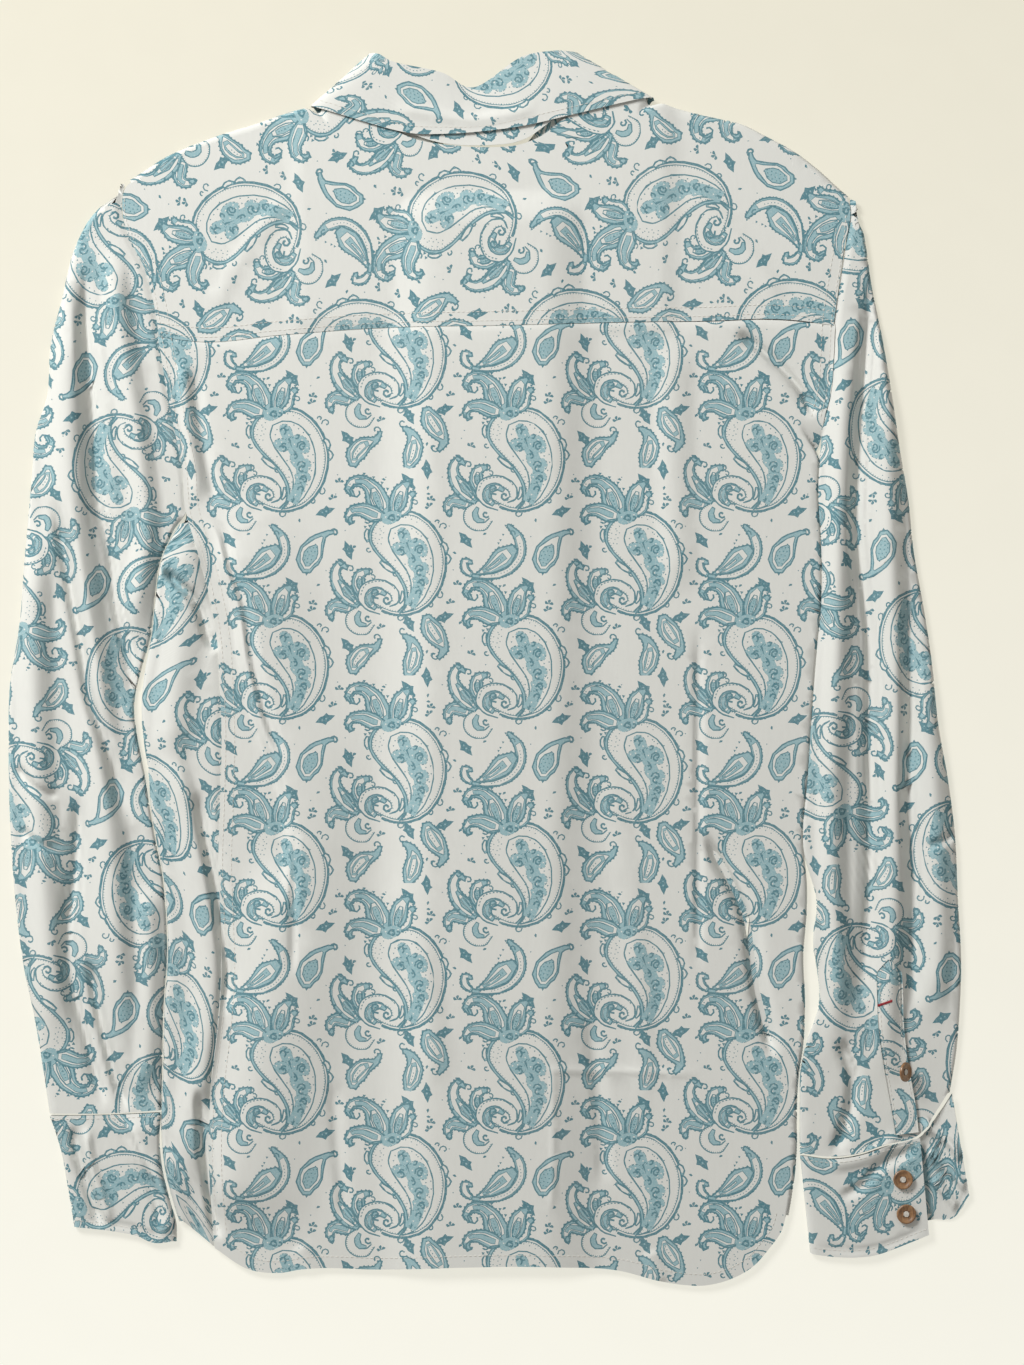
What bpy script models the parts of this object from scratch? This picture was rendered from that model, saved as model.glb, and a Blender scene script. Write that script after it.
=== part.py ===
"""A women's long-sleeved work shirt laid flat on a table, face down, with its back up.

Lengths in the tables are millimetres: x to the shirt's right, y towards the collar, z up from the
table. Every panel is a sheet of cloth: a grid whose points are worked out from the lines that bound
it and from the height of the layer it belongs to, with a wall put on both sides by Solidify.
The shirt has two layers, the back on top and the fronts underneath, and they roll into each other
at the folded edges. A panel that passes such an edge goes on for a way on the other layer.
"""

import math
from collections import namedtuple

import bmesh
import bpy
import numpy as np

MM = 0.001
COLLECTION = "work_shirt"

# Walls and levels
CLOTH = 1.2             # wall of a panel, one layer of twill
FACED = 1.4             # wall of the cuffs and the front band, which are double
SEAM = 0.8              # clear way between two panels along their seam
STEP = 0.3              # clear way between pieces that lie on each other
UNDER_MID = 0.6         # middle of the under layer's wall where it rests on the table
TOP_MID = 3.2           # middle of the top layer's wall on the plain stretches
LAYERS_APART = 5.1      # most that the two middles part: under a ridge the under layer rises too
LAYERS_CLOSE = 1.6      # least that they part, at the foot of a valley

# Front band and its buttons, under the centre of the back
BAND_HALF = 18.0
BAND_LIFT = 2.7
BAND_TOP = 261.5
BAND_FOOT = -361.0
BAND_RAMP = 26.0        # breadth over which the cloth beside the band comes down to the table
BAND_END = 14.0         # and the length over which it does so past the band's head
LAP_START = -54.0       # the left front starts to rise over the band here
FRONT_LAP = 14.0        # how far the left front goes on past the centre, over the band
BUTTON_ACROSS = 12.0
BUTTON_THICK = 2.4
FRONT_BUTTONS = 7
FRONT_BUTTON_TOP = 240.0
FRONT_BUTTON_PITCH = 87.0

# Wraps: how far a panel goes on past a folded edge
SIDE_WRAP = 35.0        # the back, under the right side
WRAP_OPENS = 100.0      # length below the underarm over which that wrap reaches its full width
CURL_LENGTH = 26.0      # length of edge over which a roll closes, below the underarm
NECK_CURL = 0.125       # share of a shoulder's length over which its roll closes, from the neck out
ROLL_STEPS = 4
SQUEEZE = 1.3           # column spacing where a wrap has run out

# Where the middle of the whole outline lies in the tables' frame
MIDDLE = (-0.2, -0.66, 0.0)

CREAM = (0.80, 0.77, 0.71)
HORN = (0.30, 0.20, 0.11)

# ---------------------------------------------------------------- outlines, (x, y)
SHOULDER_LEFT = [(-219, 297), (-195, 312), (-171, 322), (-143, 331), (-115, 340), (-97, 343)]
SHOULDER_RIGHT = [(91, 349), (113, 341), (137, 335), (154, 331), (170, 323), (185, 315), (201, 303),
                  (213, 292), (219, 287)]
NECK_BACK = [(-97, 343), (-79, 338), (-62, 329), (-45, 321.5), (-20, 317.5), (0, 316.5), (18, 318),
             (32, 323.5), (46, 334), (68, 343), (91, 349)]
NECK_LEFT_FRONT = [(-94, 340), (-85, 322), (-66, 297), (-40, 274), (-18, 264), (14, 262)]
NECK_RIGHT_FRONT = [(88, 346), (82, 324), (66, 297), (42, 274), (BAND_HALF + SEAM, 264)]
YOKE_SEAM = [(-201, 202), (-175, 199), (-129, 203), (-75, 207), (14, 209), (84, 211), (142, 212),
             (165, 213), (188, 212), (210, 209)]
ARMHOLE_LEFT = [(-222, 294), (-224, 279), (-217, 258), (-211, 246), (-204, 221), (-201, 202), (-198, 184),
                (-195, 166), (-190, 141), (-186, 122), (-184, 96)]
ARMHOLE_RIGHT = [(220, 285), (217, 255), (213, 230), (210, 209), (209, 189), (207, 166), (203, 150)]
BODY_LEFT = [(-184, 96), (-192, 82), (-199, 68), (-204, 38), (-206, 19), (-210, -2), (-212, -22),
             (-211, -43), (-208, -63), (-206, -89), (-203, -106), (-199, -126), (-197, -146), (-196, -176),
             (-198, -205), (-199, -250), (-200, -284), (-198, -304), (-193, -325), (-189, -338)]
SLEEVE_INNER_LEFT = [(-184, 96), (-192, 82), (-199, 68), (-204, 38), (-206, 19), (-212, -3), (-216, -22),
                     (-214, -43), (-210, -63), (-206, -89), (-203, -106), (-199, -126), (-197, -146),
                     (-196, -176), (-198, -205), (-199, -250), (-199.5, -270)]
SLEEVE_OUTER_LEFT = [(-226, 291), (-245, 271), (-252, 257), (-261, 222), (-267, 198), (-270, 163),
                     (-276, 145), (-279, 114), (-283, 69), (-287, 21), (-292, -9), (-293, -49), (-292, -98),
                     (-289, -142), (-283, -187), (-278, -210), (-272, -245), (-268, -272)]
BODY_RIGHT = [(203, 150), (201, 129), (200, 107), (202, 71), (202, 40), (199, 9), (196, -30), (193, -74),
              (191, -95), (191, -111), (193, -130), (193, -150), (191, -176), (192, -205), (191, -230),
              (188, -250), (187, -275), (187, -295), (185, -315), (182, -334)]
SLEEVE_INNER_RIGHT = [(203, 150), (201, 129), (200, 107), (202, 71), (202, 40), (199, 9), (196, -30),
                      (193, -74), (191, -95), (191, -111), (195, -126), (199, -140), (199, -152),
                      (197, -165), (199, -181), (201, -197), (200, -209), (194, -226), (190, -243),
                      (189, -270), (189, -297)]
SLEEVE_OUTER_RIGHT = [(225, 279), (229, 262), (233, 235), (240, 200), (246, 164), (250, 136), (256, 100),
                      (259, 71), (265, 37), (270, 4), (274, -35), (280, -69), (284, -100), (286, -141),
                      (288, -180), (287, -210), (285, -235), (281, -259)]
SLEEVE_FOOT_RIGHT = [(189, -297), (208, -299), (225, -297), (240, -292), (262, -286), (274, -270),
                     (281, -259)]
SIDE_SEAM = [(-184, 96), (-177, 72), (-170, 46), (-165, 18), (-163, -12), (-162, -45), (-163, -85),
             (-164, -120), (-163, -150), (-162, -187), (-164, -218), (-168, -252), (-170, -290),
             (-169, -322), (-166, -354)]
HEM_BACK = [(-166, -354), (-145, -367), (-126, -369), (-114, -367), (-64, -367), (-15, -365.5), (19, -365),
            (44, -365.5), (81, -368), (104, -374), (119, -376.5), (131, -377), (147, -373.5), (161, -366),
            (172, -354), (179, -344), (182, -334)]
HEM_FRONT_LEFT = [(14, -361), (-60, -361), (-120, -362), (-160, -353), (-189, -338)]
HEM_FRONT_RIGHT = [(BAND_HALF + SEAM, -361), (60, -362), (105, -363), (130, -352), (146.5, -335)]
YOKE_UNDER_LEFT = [(-95, 341), (-104, 327), (-122, 312), (-148, 303), (-172, 294), (-192, 283), (-206, 271),
                   (-216, 259)]
YOKE_UNDER_RIGHT = [(89, 347), (98, 331), (116, 316), (138, 309), (158, 303), (178, 293), (197, 279),
                    (209, 268), (216.5, 260)]

# ---------------------------------------------------------------- folds
# height of the fold in the cloth (below zero for a valley), how far it spreads to its left (west)
# and to its right (east), and the line that it follows
Fold = namedtuple("Fold", "name height west east path")
FOLDS = [
    Fold("side drape", 3.0, 7, 55, [(-174, 98), (-165, 83), (-159, 60), (-152, 41), (-147, 5), (-142, -17),
                                    (-134, -43), (-126, -61), (-120, -87), (-119, -118), (-120, -150)]),
    Fold("hip slope", 3.2, 30, 55, [(-120, -110), (-124, -142), (-131, -203), (-143, -264), (-152, -313),
                                    (-158, -350)]),
    Fold("side roll", 2.6, 16, 9, [(-198, -32), (-185, -81), (-177, -118), (-171, -150), (-169, -203),
                                   (-175, -250), (-181, -290), (-180, -330)]),
    Fold("upper pinch", -2.2, 6, 8, [(-178, -73), (-173, -103), (-168, -126), (-162, -164), (-159, -187),
                                     (-162, -214)]),
    Fold("lower pinch", -2.2, 6, 7, [(-177, -255), (-173, -294), (-170, -322), (-164, -350)]),
    Fold("underarm crease", -2.0, 5, 6, [(-200, 60), (-195, 56), (-189, 50), (-182, 44), (-176, 35),
                                         (-171, 19), (-166, 8)]),
    Fold("underarm puff", 2.0, 14, 16, [(-186, 88), (-186, 60), (-187, 20), (-192, -20), (-194, -60)]),
    Fold("right hip", -1.4, 9, 11, [(129, -99), (145, -125), (156, -151), (162, -191), (174, -240)]),
    Fold("right shoulder blade", -1.2, 8, 10, [(150, 205), (170, 190), (190, 169), (199, 152)]),
    Fold("right back", 1.2, 14, 16, [(112, 205), (112, 120), (116, 40)]),
    Fold("crown of the left sleeve", 4.4, 20, 14, [(-243, 266), (-254, 205), (-256, 150), (-253, 90),
                                                   (-247, 40), (-240, -15), (-235, -60), (-231, -110),
                                                   (-227, -170), (-222, -225), (-219, -262)]),
    Fold("long valley of the left sleeve", -3.4, 9, 8, [(-246, 250), (-246, 220), (-243, 179), (-240, 138),
                                                        (-238, 102), (-231, 70), (-228, 40), (-221, 8),
                                                        (-215, -30)]),
    Fold("armhole ridge of the left sleeve", 3.0, 11, 11, [(-231, 262), (-226, 215), (-219, 170),
                                                           (-212, 120), (-209, 85), (-214, 40), (-218, 8)]),
    Fold("outer valley of the left sleeve", -3.0, 8, 9, [(-266, 110), (-259, 73), (-253, 38), (-248, 12),
                                                         (-243, -18), (-234, -45), (-226, -75),
                                                         (-222, -100)]),
    Fold("outer roll of the left sleeve", 3.4, 14, 14, [(-272, 100), (-277, 30), (-276, -50), (-272, -120),
                                                        (-268, -180), (-261, -240)]),
    Fold("lower valley of the left sleeve", -3.0, 8, 8, [(-250, -75), (-252, -122), (-256, -170),
                                                         (-253, -197), (-246, -224), (-239, -251),
                                                         (-233, -271)]),
    Fold("wrist valley of the left sleeve", -2.2, 6, 6, [(-244, -176), (-239, -204), (-233, -231),
                                                         (-225, -258), (-219, -271)]),
    Fold("inner roll of the left sleeve", 2.4, 10, 10, [(-208, -130), (-207, -180), (-208, -230),
                                                        (-209, -262)]),
    Fold("inner roll of the right sleeve", 3.4, 11, 12, [(221, 225), (216, 160), (213, 90), (212, 20),
                                                         (209, -60), (209, -130), (212, -190),
                                                         (207, -250)]),
    Fold("long valley of the right sleeve", -3.6, 8, 8, [(231, 251), (232, 235), (230, 190), (227, 143),
                                                         (225, 79), (228, 50), (231, 25), (232, -40),
                                                         (232, -100), (231, -150), (228, -190),
                                                         (226, -220)]),
    Fold("middle roll of the right sleeve", 3.6, 12, 12, [(240, 215), (242, 150), (244, 80), (247, 0),
                                                          (247, -80), (246, -150), (243, -215),
                                                          (240, -260)]),
    Fold("outer valley of the right sleeve", -2.6, 8, 8, [(255, 40), (257, -20), (256, -85), (259, -125),
                                                          (259, -170), (258, -215)]),
    Fold("outer roll of the right sleeve", 2.4, 11, 11, [(262, 10), (269, -50), (273, -110), (274, -170),
                                                         (270, -220)]),
    Fold("wrist valley of the right sleeve", -1.8, 7, 7, [(214, -225), (222, -250), (218, -278),
                                                          (210, -297)]),
    Fold("lap of the left cuff", 2.4, 5, 22, [(-221, -272), (-213, -299), (-204, -311), (-198, -331),
                                              (-198, -350)]),
]

# The back stands a little higher over the front band, and again over the collar's points
RIDGE_HEIGHT = 3.3
RIDGE_FLAT = 33.0
RIDGE_FOOT = 70.0
RIDGE_TOP = 300.0
RIDGE_END = 30.0
COLLAR_RISE = 0.8
COLLAR_LIFT = 1.5
COLLAR_WEST = -112.0
COLLAR_EAST = 104.0
COLLAR_SOUTH = 214.0
COLLAR_RAMP = 14.0

# ---------------------------------------------------------------- collar and right cuff
# One row for each section round the collar, from the front's left end over the back to its right
# end: the neck or free edge (x, y, z), the top edge (x, y, z), and the steps to the next section.
Section = namedtuple("Section", "place x1 y1 z1 x2 y2 z2 steps")
STAND = [
    Section("left end", -2.5, 263, 2.1, -2.5, 293, 2.1, 2),
    Section("front left", -52, 287, 2.1, -38, 327, 2.1, 2),
    Section("by the left fold", -89, 340, 2.1, -68, 366.5, 2.1, 2),
    Section("left fold", -94, 345, 3.05, -70.5, 369.5, 3.05, 2),
    Section("back by the left fold", -87, 345.5, 4.0, -66, 368.5, 4.0, 2),
    Section("back left", -53, 327.5, 4.0, -57, 365.5, 4.0, 2),
    Section("back left of centre", -28, 319, 4.0, -29, 359.5, 3.2, 2),
    Section("back centre", 0, 317.8, 4.0, -9, 350.5, 2.4, 2),
    Section("back right of centre", 22, 321.6, 4.0, 19, 368, 3.2, 2),
    Section("back right", 45, 337, 4.0, 38, 372, 4.0, 2),
    Section("back by the right fold", 77.5, 350, 4.0, 46, 371, 4.0, 2),
    Section("right fold", 84, 350.5, 3.05, 50, 370, 3.05, 2),
    Section("by the right fold", 80, 346, 2.1, 47, 367, 2.1, 2),
    Section("front right", 52, 287, 2.1, 30, 327, 2.1, 2),
    Section("right end", 2.5, 263, 2.1, 2.5, 293, 2.1, 0),
]
FALL = [
    Section("left point", -34, 232, 0.6, -2.5, 297, 0.6, 2),
    Section("front left", -80, 289, 0.6, -40, 331, 0.6, 2),
    Section("by the left fold", -103, 335, 0.6, -69, 369, 0.6, 2),
    Section("left fold", -108.3, 341, 3.1, -73, 373, 3.1, 2),
    Section("back by the left fold", -101, 339.5, 5.6, -67, 373, 5.6, 2),
    Section("back left", -54, 326, 5.6, -57, 368, 5.6, 2),
    Section("back left of centre", -27, 324.5, 5.6, -29, 362, 4.8, 2),
    Section("back centre", 0, 326.5, 5.6, -9, 353, 4.0, 2),
    Section("back right of centre", 24, 330, 5.6, 19, 371, 4.8, 2),
    Section("back right", 52, 336.5, 5.6, 39, 375, 5.6, 2),
    Section("back by the right fold", 93, 346, 5.6, 49, 374.5, 5.6, 2),
    Section("right fold", 100.4, 345, 3.1, 54.5, 373, 3.1, 2),
    Section("by the right fold", 96, 339, 0.6, 50, 369, 0.6, 2),
    Section("front right", 75, 289, 0.6, 32, 331, 0.6, 2),
    Section("right point", 34, 232, 0.6, 2.5, 297, 0.6, 0),
]
STAND_ROWS = (0, 0.5, 1)
STAND_LOWEST = 2.1
FALL_ROWS = (0, 0.35, 0.7, 1)
FALL_CROWN = 0.7        # the fall stands this much proud between its two edges

# One row for each section round the right cuff, from its button end on top, under its left fold,
# to the end that is turned out past the sleeve: the seam edge and the free edge.
RIGHT_CUFF = [
    Section("button end", 262.5, -286.9, 3.6, 268, -346, 3.6, 3),
    Section("on top", 242, -292.2, 3.7, 240, -357, 3.7, 1),
    Section("on top, middle", 225, -297.7, 3.8, 226, -359.5, 3.8, 1),
    Section("on top, left", 208, -299.8, 3.6, 213, -359.5, 3.6, 2),
    Section("top of the left fold", 193, -298.0, 3.4, 199, -358, 3.4, 1),
    Section("left fold", 190, -297.8, 2.05, 196, -356.5, 2.05, 1),
    Section("foot of the left fold", 193, -298.0, 0.7, 199, -356, 0.7, 2),
    Section("under, left", 208, -299.8, 0.7, 213, -357, 0.7, 1),
    Section("under, middle", 225, -297.7, 0.7, 226, -355.5, 0.7, 1),
    Section("under", 242, -292.2, 0.7, 240, -352, 0.7, 2),
    Section("under the button end", 262, -287.2, 0.7, 266, -338, 0.7, 2),
    Section("turned out", 275, -270.8, 1.6, 283, -336, 1.2, 2),
    Section("turned-out end", 282, -259.8, 3.6, 292.5, -322, 3.0, 0),
]

# The left cuff: its seam edge and its free edge, and the fold on each side of it
LEFT_CUFF_EDGE_SEAM = [(-268, -273.5), (-234, -273), (-199.5, -271.5)]
LEFT_CUFF_EDGE_FREE = [(-253, -341), (-228, -344), (-214, -347), (-205, -351), (-190, -350)]
LEFT_CUFF_OUTER = [(-268, -273.5), (-261, -295), (-257, -317), (-253, -341)]
LEFT_CUFF_INNER = [(-199.5, -271.5), (-200.5, -287), (-199, -304), (-194, -325), (-190, -340), (-190, -350)]
LEFT_CUFF_LAP = 0.45    # where across the cuff its under side is parted
LEFT_CUFF_GAP = 0.012   # and how wide, as a share of the cuff's breadth
CUFF_RISE = 0.2         # the cuff stands this much higher than the sleeve's cloth

# Right sleeve placket: along its middle, from the point down to the cuff, with its half width
PlacketRow = namedtuple("PlacketRow", "x y half")
PLACKET = [
    PlacketRow(243.5, -178, 0.8),
    PlacketRow(243.5, -186, 7.4),
    PlacketRow(244.0, -200, 7.5),
    PlacketRow(244.5, -216, 7.5),
    PlacketRow(246.5, -234, 7.5),
    PlacketRow(249.5, -252, 7.5),
    PlacketRow(252.5, -269, 7.5),
    PlacketRow(254.5, -284, 7.0),
]
PLACKET_COLUMNS = 5
PLACKET_ROWS = 15
PLACKET_SPARE = 0.3     # more way under it, for the corners of the sleeve's facets

# Buttons that show: place, how far each is turned about the sleeve's length
ShownButton = namedtuple("ShownButton", "name x y turn")
SHOWN_BUTTONS = [
    ShownButton("button_cuff_1", 252, -312, 0),
    ShownButton("button_cuff_2", 254, -333, 0),
    ShownButton("button_placket", 253, -246, 52),
]


# ---------------------------------------------------------------- lines
class Line:
    """A smooth line through a table's points, read by fractions of its length."""

    SAMPLES = 24

    def __init__(self, points):
        points = np.array(points, float)
        reach = np.linalg.norm(np.diff(points, axis=0), axis=1)
        slope = np.diff(points, axis=0) / reach[:, None]
        turning = slope[:-1] * reach[1:, None] + slope[1:] * reach[:-1, None]
        turning /= (reach[1:] + reach[:-1])[:, None]
        tangent = np.vstack([slope[:1], turning, slope[-1:]])
        t = np.linspace(0, 1, self.SAMPLES, endpoint=False)[:, None]
        runs = []
        ends = zip(points[:-1], points[1:], tangent[:-1], tangent[1:], reach)
        for start, end, leave, arrive, length in ends:
            runs.append(start * (1 + 2 * t) * (1 - t) ** 2 + end * t * t * (3 - 2 * t)
                        + length * (leave * t * (1 - t) ** 2 - arrive * t * t * (1 - t)))
        self.points = np.vstack(runs + [points[-1:]])
        self.reach = np.concatenate([[0], np.cumsum(np.linalg.norm(np.diff(self.points, axis=0), axis=1))])
        self.length = self.reach[-1]

    def at(self, fraction):
        where = np.clip(fraction, 0, 1) * self.length
        return np.stack([np.interp(where, self.reach, axis) for axis in self.points.T], axis=-1)

    def normal(self, fraction):
        """Unit vectors square to the line, to the left of its run."""
        small = 1.5 / self.length
        along = self.at(np.add(fraction, small)) - self.at(np.subtract(fraction, small))
        along /= np.linalg.norm(along, axis=-1, keepdims=True)
        return np.stack([-along[..., 1], along[..., 0]], axis=-1)

    def between(self, start, end, fraction):
        """Fractions spread over the stretch that lies nearest to two points."""
        first, last = (self.reach[np.hypot(*(self.points - place).T).argmin()] for place in (start, end))
        return (first + (last - first) * np.asarray(fraction)) / self.length


def joined(*tables):
    """One line through several tables, each starting where the last one ends."""
    points = list(tables[0])
    for table in tables[1:]:
        points += table[1:]
    return Line(points)


def moved(line, distance, count=60):
    """A line beside another, a distance to the left of its run."""
    fraction = np.linspace(0, 1, count)
    return Line(line.at(fraction) + distance * line.normal(fraction))


def smooth(value):
    value = np.clip(value, 0, 1)
    return value * value * (3 - 2 * value)


def larger(a, b, blend=0.6):
    """The larger of two heights, with a rounded meeting."""
    part = np.clip(0.5 + 0.5 * (a - b) / blend, 0, 1)
    return b * (1 - part) + a * part + blend * part * (1 - part)


# ---------------------------------------------------------------- height of the two layers
FOLD_LINES = [(fold, Line(fold.path).at(np.linspace(0, 1, 36))) for fold in FOLDS]
FOLD_END = 0.16         # part of a fold's length over which it dies away


def fold_height(x, y):
    """What all the folds add to the top layer at a point."""
    total = np.zeros(np.shape(x))
    for fold, path in FOLD_LINES:
        best = np.full(np.shape(x), 1e9)
        side = np.zeros(np.shape(x))
        along = np.zeros(np.shape(x))
        for index, (start, end) in enumerate(zip(path[:-1], path[1:])):
            run = end - start
            part = ((x - start[0]) * run[0] + (y - start[1]) * run[1]) / (run @ run)
            part = np.clip(part, 0, 1)
            dx = x - start[0] - part * run[0]
            dy = y - start[1] - part * run[1]
            distance = np.hypot(dx, dy)
            nearer = distance < best
            best = np.where(nearer, distance, best)
            side = np.where(nearer, dx, side)
            along = np.where(nearer, (index + part) / (len(path) - 1), along)
        spread = np.where(side < 0, fold.west, fold.east)
        profile = np.clip(1 - (best / spread) ** 2, 0, 1) ** 2
        ends = smooth(along / FOLD_END) * smooth((1 - along) / FOLD_END)
        total += fold.height * profile * ends
    return total


def collar_share(x, y):
    """1 where the collar's points lie underneath, falling to 0 round them."""
    across = np.minimum(x - COLLAR_WEST, COLLAR_EAST - x)
    return smooth(across / COLLAR_RAMP + 1) * smooth((y - COLLAR_SOUTH) / COLLAR_RAMP + 1)


def top(x, y):
    """Middle of the top layer's wall."""
    ridge = smooth((RIDGE_FOOT - np.abs(x)) / (RIDGE_FOOT - RIDGE_FLAT))
    ridge *= smooth((RIDGE_TOP - y) / RIDGE_END)
    base = TOP_MID + np.maximum(RIDGE_HEIGHT * ridge, COLLAR_RISE * collar_share(x, y))
    lowest = UNDER_MID + LAYERS_CLOSE + COLLAR_LIFT * collar_share(x, y)
    return larger(base + fold_height(x, y), lowest)


def under(x, y):
    """Middle of the under layer's wall: on the table, but for what lies under it."""
    band = smooth((BAND_HALF + BAND_RAMP - np.abs(x)) / BAND_RAMP)
    band *= smooth((BAND_TOP + BAND_END - y) / BAND_END)
    rest = UNDER_MID + np.maximum(BAND_LIFT * band, COLLAR_LIFT * collar_share(x, y))
    return np.maximum(rest, top(x, y) - LAYERS_APART)


def under_left(x, y):
    """The under layer of the left front, which goes over the front band."""
    over = smooth((x - LAP_START) / BAND_RAMP) * smooth((BAND_TOP + BAND_END - y) / BAND_END)
    rest = UNDER_MID + np.maximum((BAND_LIFT + FACED + STEP) * over, COLLAR_LIFT * collar_share(x, y))
    return np.maximum(rest, top(x, y) - LAYERS_APART)


# ---------------------------------------------------------------- sheets
def new_material(name, color, roughness):
    material = bpy.data.materials.new(name)
    material.use_nodes = True
    shader = material.node_tree.nodes["Principled BSDF"]
    shader.inputs["Base Color"].default_value = (*color, 1)
    shader.inputs["Roughness"].default_value = roughness
    shader.inputs["Metallic"].default_value = 0
    material.diffuse_color = (*color, 1)
    return material


def add_object(name, mesh, material):
    node = bpy.data.objects.new(name, mesh)
    mesh.materials.append(material)
    bpy.data.collections[COLLECTION].objects.link(node)
    return node


def sheet(name, points, wall, material):
    """A sheet of cloth through a grid of points [row, column, xyz], with half its wall on each side."""
    rows, columns = points.shape[0] - 1, points.shape[1] - 1
    bm = bmesh.new()
    bmesh.ops.create_grid(bm, x_segments=columns, y_segments=rows, size=0.5)
    for vert in bm.verts:
        column = round((vert.co.x + 0.5) * columns)
        row = round((vert.co.y + 0.5) * rows)
        vert.co = (points[row, column] - MIDDLE) * MM
    bmesh.ops.recalc_face_normals(bm, faces=bm.faces)
    mesh = bpy.data.meshes.new(name)
    bm.to_mesh(mesh)
    bm.free()
    mesh.shade_smooth()
    node = add_object(name, mesh, material)
    solidify = node.modifiers.new("wall", "SOLIDIFY")
    solidify.thickness = wall * MM
    solidify.offset = 0
    return node


def rolled_edge(edge, outward, height, other, curl, end, steps_flat, wall):
    """Columns past a folded edge: half a turn down or up to the other layer, then flat to an end line.

    edge and end are rows of (x, y), outward the unit vectors off the edge, curl 0 where the layers
    are not joined yet, and 1 where they are. The last column of the first layer comes back too.
    """
    inset = edge - outward * wall / 2
    z_this = height(*inset.T)
    z_other = other(*inset.T)
    radius = np.abs(z_this - z_other) / 2
    centre = inset - outward * radius[:, None]
    z_this = height(*centre.T)
    z_other = other(*centre.T)
    turned = []
    for step in range(ROLL_STEPS + 1):
        angle = math.pi * step / ROLL_STEPS
        place = centre + outward * (radius * math.sin(angle))[:, None]
        z = (z_this + z_other) / 2 + (z_this - z_other) / 2 * math.cos(angle)
        turned.append(np.column_stack([place, z]))
    for step in range(1, steps_flat + 1):
        place = centre + (end - centre) * step / steps_flat
        turned.append(np.column_stack([place, other(*place.T)]))
    columns = []
    last = ROLL_STEPS + steps_flat
    for index, rolled in enumerate(turned):
        place = edge - outward * SQUEEZE * (last - index)
        flat = np.column_stack([place, height(*place.T)])
        columns.append(flat + (rolled - flat) * curl[:, None])
    return columns


def patch(left, right, head, foot, rows, columns):
    """A net of (x, y) points between four lines; left and right are rows of points."""
    u = columns[None, :, None]
    v = rows[:, None, None]
    head_points = head.at(head.between(left[0], right[0], columns))[None]
    foot_points = foot.at(foot.between(left[-1], right[-1], columns))[None]
    head_points = head_points + (left[0] - head_points[:, 0]) * (1 - u)
    head_points = head_points + (right[0] - head_points[:, -1]) * u
    foot_points = foot_points + (left[-1] - foot_points[:, 0]) * (1 - u)
    foot_points = foot_points + (right[-1] - foot_points[:, -1]) * u
    ruled = left[:, None] * (1 - u) + right[:, None] * u
    lofted = head_points * (1 - v) + foot_points * v
    corners = ((left[0] * (1 - u) + right[0] * u) * (1 - v) + (left[-1] * (1 - u) + right[-1] * u) * v)
    return ruled + lofted - corners


def lifted(net, height):
    return np.dstack([net, height(net[..., 0], net[..., 1])])


def panel_with_wrap(left, right, head, foot, rows, columns, height, other, curl, end, steps_flat, wall=CLOTH,
                    outward_sign=1):
    """A panel on one layer that rolls over its right-hand line on to the other layer."""
    edge = right.at(rows)
    outward = right.normal(rows) * outward_sign
    past = rolled_edge(edge, outward, height, other, curl, end, steps_flat, wall)
    net = patch(left.at(rows), past[0][:, :2], head, foot, rows, columns)
    points = lifted(net, height)
    return np.concatenate([points[:, :-1]] + [column[:, None] for column in past], axis=1)


# ---------------------------------------------------------------- torso
YOKE_SEAM_SHARE = np.concatenate([np.linspace(0, 0.30, 8), np.linspace(0.30, 1, 15)[1:]])


def back_panel():
    """The back: from the yoke seam to the hem, rolled under along the right side."""
    armhole_left = ARMHOLE_LEFT[5:]
    armhole_right = ARMHOLE_RIGHT[3:]
    left = moved(joined(armhole_left, SIDE_SEAM), SEAM / 2)
    right = joined(armhole_right, BODY_RIGHT)
    right = moved(right, SEAM / 2 * -1)
    rows = np.concatenate([[0, 0.055], np.linspace(0.11, 0.19, 3), np.linspace(0.19, 1, 25)[1:]])
    edge = right.at(rows)
    below = edge[:, 1] - BODY_RIGHT[0][1]
    curl = smooth(-below / CURL_LENGTH)
    width = SIDE_WRAP * smooth(-below / WRAP_OPENS)
    end = edge + right.normal(rows) * -width[:, None]
    # the line runs down the right side, so its left-hand normal points out of the shirt
    head = moved(Line(YOKE_SEAM), -SEAM / 2)
    return panel_with_wrap(left, right, head, Line(HEM_BACK), rows, YOKE_SEAM_SHARE, top, under, curl, end, 3)


def past_neck(share):
    """How far along the left and the right shoulder a place on the yoke's rim lies, below 0 at the neck."""
    length = joined(SHOULDER_LEFT, NECK_BACK, SHOULDER_RIGHT).length
    left = Line(SHOULDER_LEFT).length / length
    right = Line(SHOULDER_RIGHT).length / length
    return (left - share) / left, (share - 1 + right) / right


def yoke_panel():
    """The yoke: from its seam up, and over the shoulders; at the neck it ends under the collar."""
    seam = moved(Line(YOKE_SEAM), SEAM / 2)
    rim = joined(SHOULDER_LEFT, NECK_BACK, SHOULDER_RIGHT)
    rows = YOKE_SEAM_SHARE
    columns = np.linspace(0, 1, 7)
    past_left, past_right = past_neck(rows)
    end = rim.at(rows)
    end = np.where(past_left[:, None] > 0, Line(YOKE_UNDER_LEFT).at(past_left), end)
    end = np.where(past_right[:, None] > 0, Line(YOKE_UNDER_RIGHT).at(past_right), end)
    curl = smooth(np.maximum(past_left, past_right) / NECK_CURL)
    head = moved(Line(ARMHOLE_LEFT[:6][::-1]), -SEAM / 2)
    foot = moved(Line(ARMHOLE_RIGHT[:4][::-1]), SEAM / 2)
    return panel_with_wrap(seam, rim, head, foot, rows, columns, top, under, curl, end, 2)


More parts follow.
